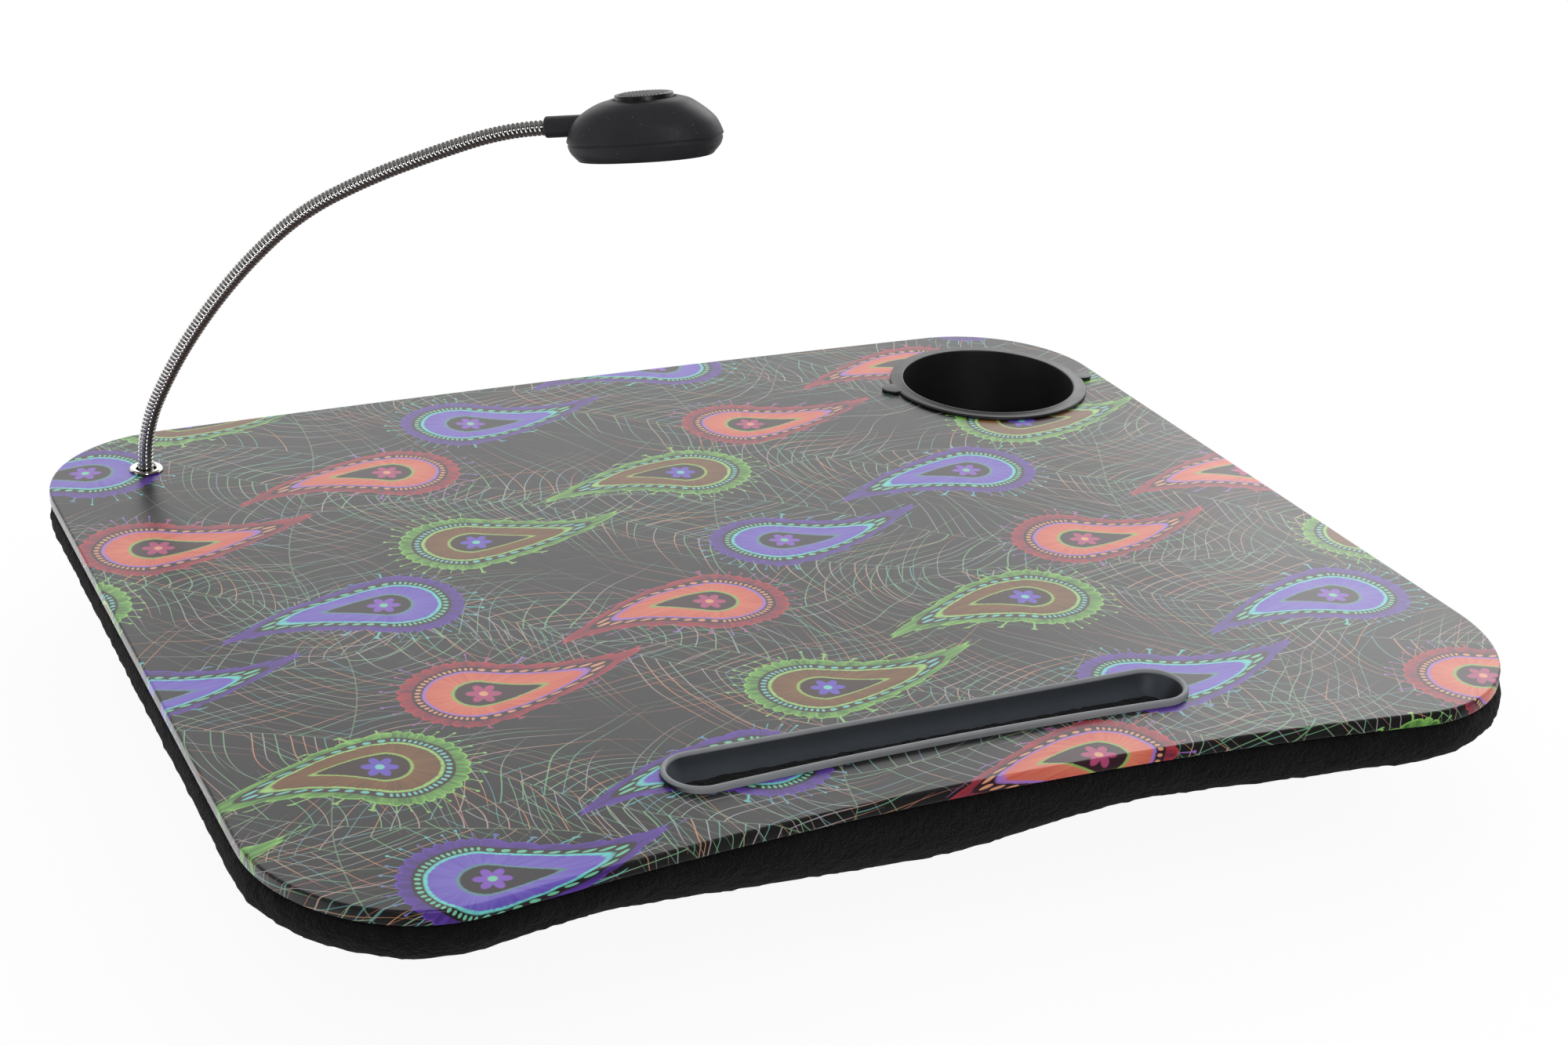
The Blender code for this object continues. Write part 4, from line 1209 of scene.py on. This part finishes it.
def finer(rows, count):
    """More rows along a smooth curve through the given ones."""
    rows = np.array(rows, float)
    gaps = np.linalg.norm(np.diff(rows[:, :2] * (1.0, 1.2), axis=0), axis=1)
    at = np.concatenate([[0.0], np.cumsum(gaps)])
    slopes = np.gradient(rows, at, axis=0)
    made = []
    for t in np.linspace(0.0, at[-1], count):
        i = min(np.searchsorted(at, t, side="right") - 1, len(at) - 2)
        h = at[i + 1] - at[i]
        s = (t - at[i]) / h
        a, b = (1 + 2 * s) * (1 - s) ** 2, s * (1 - s) ** 2
        c, d = s * s * (3 - 2 * s), s * s * (s - 1)
        made.append(a * rows[i] + b * h * slopes[i] + c * rows[i + 1] + d * h * slopes[i + 1])
    return made


TOP_ROWS = (
    (0.04, 1.0, 1.0, 0.0),
    (0.20, 0.954, 0.976, 0.0),
    (0.40, 0.872, 0.915, 0.0),
    (0.60, 0.715, 0.770, 0.0),
    (0.78, 0.510, 0.577, 0.19),
    (0.92, 0.290, 0.274, 0.69),
    (0.985, 0.085, 0.069, 0.94),
)
LOW_ROWS = (
    (0.12, 0.988, 0.985),
    (0.30, 0.978, 0.978),
    (0.55, 0.95, 0.965),
    (0.80, 0.90, 0.935),
    (1.0, 0.86, 0.895),
)
print("head rows:", len(TOP_ROWS), "above,", len(LOW_ROWS), "below")

# %% Build the two shells
HALF_GAP = 0.00015


def make_top():
    base = HALF_GAP
    rise = HEAD_HIGH - base
    rings = [pebble(0.992, 0.992, 0.0, base), pebble(1.0, 1.0, 0.0, base + 0.0004)]
    rings += [pebble(x, y, shift, base + z * rise, CROWN) for z, x, y, shift in finer(TOP_ROWS, 20)]
    for radius, sink in ((0.0132, 0.0), (0.0126, 0.0), (0.0122, 0.0002), (0.0120, 0.0007), (0.0119, 0.0016)):
        rings.append(round_ring(radius, HEAD_HIGH - sink, 96, (CROWN_X, 0.0)))
    return ring_piece("head_top", to_head(rings), first_cap=False, last_cap=False)


def make_bottom():
    base = HALF_GAP
    rise = HEAD_LOW - base
    rings = [pebble(0.978, 0.972, 0.0, base - 0.00004), pebble(0.978, 0.972, 0.0, -base)]
    rings += [pebble(0.986, 0.982, 0.0, -base - 0.0005)]
    rings += [pebble(x, y, 0.0, -base - z * rise) for z, x, y in finer(LOW_ROWS, 10)]
    rings.append(pebble(0.84, 0.875, 0.0, -HEAD_LOW))
    return ring_piece("head_bottom", to_head(rings), first_cap=False)


head_top = make_top()
head_bottom = make_bottom()
for shell in (head_top, head_bottom):
    apply(shell, "SOLIDIFY", thickness=0.0015, offset=-1.0)
print("shells:", len(head_top.data.polygons), "and", len(head_bottom.data.polygons), "faces")

# %% Cut the ways for the cap, the lens, the screws and the sleeve


def head_punch(radius, low, high, x, y, count=64):
    rings = [round_ring(radius, z, count, (x, y)) for z in (high, low)]
    return ring_piece("head_punch", to_head(rings))


def sleeve_rings(profile):
    """Rings round the sleeve's line, one for each (radius, how far along)."""
    return [[HEAD @ (SLEEVE_PLACE @ p) for p in round_ring(r, z, 48)] for r, z in profile]


# The cap's, the lens's and the two screws' ways: (radius, x, y)
WAYS = ((0.0111, -0.0118, 0.0), (0.0095, 0.0135, 0.0), (0.0019, 0.0012, 0.0148), (0.0019, 0.0012, -0.0148))
SLEEVE_PLACE = Matrix.Translation((-0.0375, 0.0, 0.0060)) @ Matrix.Rotation(math.pi / 2, 4, "Y")
for radius, x, y in WAYS:
    subtract(head_bottom, head_punch(radius, -0.010, -0.004, x, y))
subtract(head_top, ring_piece("sleeve_punch", sleeve_rings(((0.00425, 0.016), (0.00425, 0.0)))))
for shell in (head_top, head_bottom):
    smooth(shell, 38.0)
print("shells after cutting:", len(head_top.data.polygons), "and", len(head_bottom.data.polygons), "faces")

# %% Rubbery shells
dark, light = (0.020, 0.020, 0.023), (0.042, 0.042, 0.047)
rubber = plastic_material("soft_shell", dark, light, 0.46, 2200.0, grain=0.20, dust=0.6, gloss=0.16)
dress(head_top, rubber, "lamp", "lamp_plastic", "head_top_shell")
dress(head_bottom, rubber, "lamp", "lamp_plastic", "head_bottom_shell")

# %% [markdown]
# ## The sleeve and the button
# The sleeve is a plain tube with a softened mouth. The button is a low disc with raised
# ridges for the thumb, cut off round by its own rim.

# %% Sleeve


def make_sleeve():
    bore, outer, length = 0.00345, 0.0041, 0.0147
    profile = [(bore, length), (outer, length), (outer, 0.0006), (0.0040, 0.0002)]
    profile += [(0.0038, 0.0), (0.0036, 0.0), (bore, 0.0003)]
    return ring_piece("sleeve", sleeve_rings(profile), first_cap=False, last_cap=False, loop=True)


sleeve = make_sleeve()
smooth(sleeve, 40.0)
dress(sleeve, rubber, "lamp", "lamp_plastic", "lamp_sleeve")

# %% Button with ridges


def make_button():
    top = HEAD_HIGH + 0.0017
    profile = [(0.0119, HEAD_HIGH - 0.0030), (0.0119, HEAD_HIGH - 0.0020), (0.0111, HEAD_HIGH - 0.0020)]
    profile += [(0.0111, top - 0.0003), (0.0110, top - 0.0001), (0.0108, top)]
    button = ring_piece("button_cap", to_head([round_ring(r, z, 96, (CROWN_X, 0.0)) for r, z in profile]))
    span, pitch, half = 0.0111 * 0.86, 0.0012, 0.00030
    for index in range(-7, 8):
        across = index * pitch
        reach = math.sqrt(span**2 - across**2)
        corners = [(-half, -reach), (half, -reach), (half, reach), (-half, reach)]
        rings = []
        for z, shrink in ((top + 0.00025, 0.6), (top - 0.0004, 1.0)):
            rings.append([HEAD @ Vector((CROWN_X + across + x * shrink, y, z)) for x, y in corners])
        ridge = ring_piece("ridge", rings)
        subtract(button, ridge, "UNION")
    return button


button = make_button()
smooth(button, 40.0)
dark, light = (0.005, 0.005, 0.006), (0.012, 0.012, 0.013)
button_plastic = plastic_material("button_plastic", dark, light, 0.36, dust=0.35, gloss=0.4)
dress(button, button_plastic, "button", "button_plastic", "push_button")

# %% [markdown]
# ## Finishes for the CAD parts that stay
# The washers, the nut, the screws, the cells, the lens and the lamp's inside keep their
# CAD shapes. Each gets a real finish on its own material slots.

# %% Finishes for the small parts
zinc = metal_material("zinc_plate", (0.58, 0.59, 0.61), 0.30, 0.12)
stainless = metal_material("stainless", (0.60, 0.60, 0.61), 0.22, 0.08)
brass = metal_material("contact_brass", (0.72, 0.56, 0.30), 0.28)
mirror = metal_material("reflector_silver", (0.86, 0.86, 0.88), 0.08, 0.03)
cap_plastic = plastic_material("cap_plastic", (0.007, 0.007, 0.008), (0.016, 0.016, 0.017), 0.46)
switch_plastic = plastic_material("switch_plastic", (0.010, 0.010, 0.011), (0.022, 0.022, 0.024), 0.5)
white_plastic = plastic_material("white_plastic", (0.66, 0.66, 0.64), (0.80, 0.80, 0.78), 0.45)


def laminate_material():
    made, tree = material("green_laminate")
    place = object_place(tree)
    weave = noise(tree, stretch(tree, place, (1.0, 6.0, 1.0)), 500.0, 1.0)
    shade = mix(weave, (0.010, 0.070, 0.022), (0.024, 0.120, 0.045))
    sockets = {"Base Color": shade, "Roughness": 0.35 + weave * 0.1}
    sockets["Normal"] = bump(tree, weave, 0.1, 0.0001)
    return finish_material(made, sockets)


def clear_material(name, tint, roughness):
    made, tree = material(name)
    place = object_place(tree)
    flow = noise(tree, place, 140.0, 2.0)
    shade = mix(flow, tuple(0.96 * c for c in tint), tint)
    sockets = {"Base Color": shade, "Roughness": roughness + flow * 0.03, "IOR": 1.49}
    sockets["Transmission Weight"] = 0.9
    sockets["Normal"] = bump(tree, flow, 0.05, 0.0002)
    return finish_material(made, sockets)


finishes = {
    "eyelet_washer": nickel,
    "neck_washer": zinc,
    "neck_nut": zinc,
    "switch_housing": switch_plastic,
    "switch_plunger": white_plastic,
    "circuit_board": laminate_material(),
    "coin_cell_1": stainless,
    "coin_cell_2": stainless,
    "cell_contact": brass,
    "lamp_reflector": mirror,
    "battery_cap": cap_plastic,
    "head_screw_1": stainless,
    "head_screw_2": stainless,
    "lamp_lens": clear_material("clear_lens", (0.96, 0.98, 1.0), 0.05),
}
resin = clear_material("led_resin", (1.0, 0.96, 0.72), 0.08)
for number in range(1, 5):
    finishes[f"led_{number}"] = resin
for name, made in finishes.items():
    set_material(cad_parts[name], made)
print("finished", len(finishes), "CAD parts")

# %% [markdown]
# ## The studio
# The tray stands on a white sweep. The camera sees a plain white world and floor, and
# the floor keeps the tray's shadow. Two large soft lights behind give the film its milky
# gloss, and a weak one near the camera lifts the near sides. Shiny pieces see another
# room than the camera does: it is dark towards the photographer and dimmer overhead, with
# a bright strip, a bright band on the floor and one small bright spot. In plain white
# the wound steel and the film look flat.

# %% Floor
BAND_GLOW = 1.9


def make_floor():
    deselect()
    bpy.ops.mesh.primitive_plane_add(size=12.0, location=(0, 0, -0.0004))
    floor = bpy.context.active_object
    floor.name = "floor"
    made, tree = material("studio_floor")
    shader = tree.nodes["Principled BSDF"]
    shader.inputs["Roughness"].default_value = 0.9
    shader.inputs["Specular IOR Level"].default_value = 0.0
    path = tree.nodes.new("ShaderNodeLightPath")
    glossy_ray = Wire(tree, path.outputs["Is Glossy Ray"])
    across, deep, _ = axes(tree, object_place(tree))
    front = step(deep, -0.17, -0.27) * glossy_ray
    beside = band(across, -0.80, -0.236, 0.004) * step(deep, -0.16, -0.05) * glossy_ray
    paper = mix(front, (0.86, 0.86, 0.86), (0.03, 0.03, 0.03))
    tree.links.new(paper.socket, shader.inputs["Base Color"])
    seen = Wire(tree, path.outputs["Is Camera Ray"]) + glossy_ray * (1 - front)
    seen = seen + Wire(tree, path.outputs["Is Transmission Ray"])
    glow = mix(beside, (1.0, 1.0, 1.0), (BAND_GLOW, BAND_GLOW, BAND_GLOW))
    glow = node(tree, "ShaderNodeEmission", None, {"Color": glow, "Strength": 1.03})
    lit = Wire(tree, shader.outputs[0])
    both = node(tree, "ShaderNodeMixShader", None, {0: seen.lowest(1.0) * 0.90, 1: lit, 2: glow})
    tree.links.new(both.socket, tree.nodes["Material Output"].inputs["Surface"])
    set_material(floor, made)
    return floor


floor = make_floor()
print("floor at", floor.location.z)

# %% World
TOWARDS_CAMERA = (-0.44, -0.90, 0.0)
TO_ITS_SIDE = (0.90, -0.44, 0.0)
SPOT_DIRECTION = (-0.123, -0.874, 0.469)
SPOT_STRENGTH = 11.0
world = bpy.data.worlds.new("studio")
world.use_nodes = True
scene.world = world


def studio_world(tree):
    """White to the camera, dimmer as light, and in mirrors dark towards the photographer."""
    path = tree.nodes.new("ShaderNodeLightPath")
    camera_ray = Wire(tree, path.outputs["Is Camera Ray"])
    glossy_ray = Wire(tree, path.outputs["Is Glossy Ray"])
    seen = (camera_ray + glossy_ray + Wire(tree, path.outputs["Is Transmission Ray"])).lowest(1.0)
    direction = node(tree, "ShaderNodeTexCoord", output="Generated")

    def along(way):
        inputs = {0: direction, 1: way}
        return node(tree, "ShaderNodeVectorMath", {"operation": "DOT_PRODUCT"}, inputs, output="Value")

    facing = along(TOWARDS_CAMERA)
    aside = along(TO_ITS_SIDE)
    height = node(tree, "ShaderNodeSeparateXYZ", None, {0: direction}, output=2)
    room = step(facing, -0.35, -0.15) * (1 - step(height, 0.70, 0.95))
    strip = band(aside, -0.86, -0.74, 0.03) * (facing > 0) * (height < 0.75)
    room = (room * (1 - strip)).highest(step(height, 0.55, 0.75) * 0.82) * glossy_ray
    gleam = step(along(SPOT_DIRECTION), 0.9905, 0.9955) * glossy_ray
    return (0.70 + seen * 0.30) * (1 - room * 0.95) + gleam * SPOT_STRENGTH


tree = world.node_tree
background = tree.nodes["Background"]
background.inputs["Color"].default_value = (1.0, 1.0, 1.0, 1.0)
tree.links.new(studio_world(tree).socket, background.inputs["Strength"])
print("world with", len(tree.nodes), "nodes")

# %% Soft lights


def soft_light(name, place, aim, size, power):
    data = bpy.data.lights.new(name, "AREA")
    data.shape = "RECTANGLE"
    data.size, data.size_y = size
    data.energy = power
    obj = bpy.data.objects.new(name, data)
    scene.collection.objects.link(obj)
    obj.location = place
    obj.rotation_euler = (Vector(aim) - Vector(place)).to_track_quat("-Z", "Y").to_euler()
    return obj


soft_light("back_wide", (1.45, 2.72, 1.44), (0.0, 0.0, 0.05), (5.0, 2.2), 33.0)
soft_light("back_right", (2.30, 1.94, 1.35), (0.1, -0.05, 0.05), (1.4, 1.8), 13.0)
soft_light("near_camera", (-0.43, -1.56, 1.04), (-0.1, 0.0, 0.1), (0.36, 0.36), 2.0)
scene.view_settings.view_transform = "Standard"
print("three soft lights")
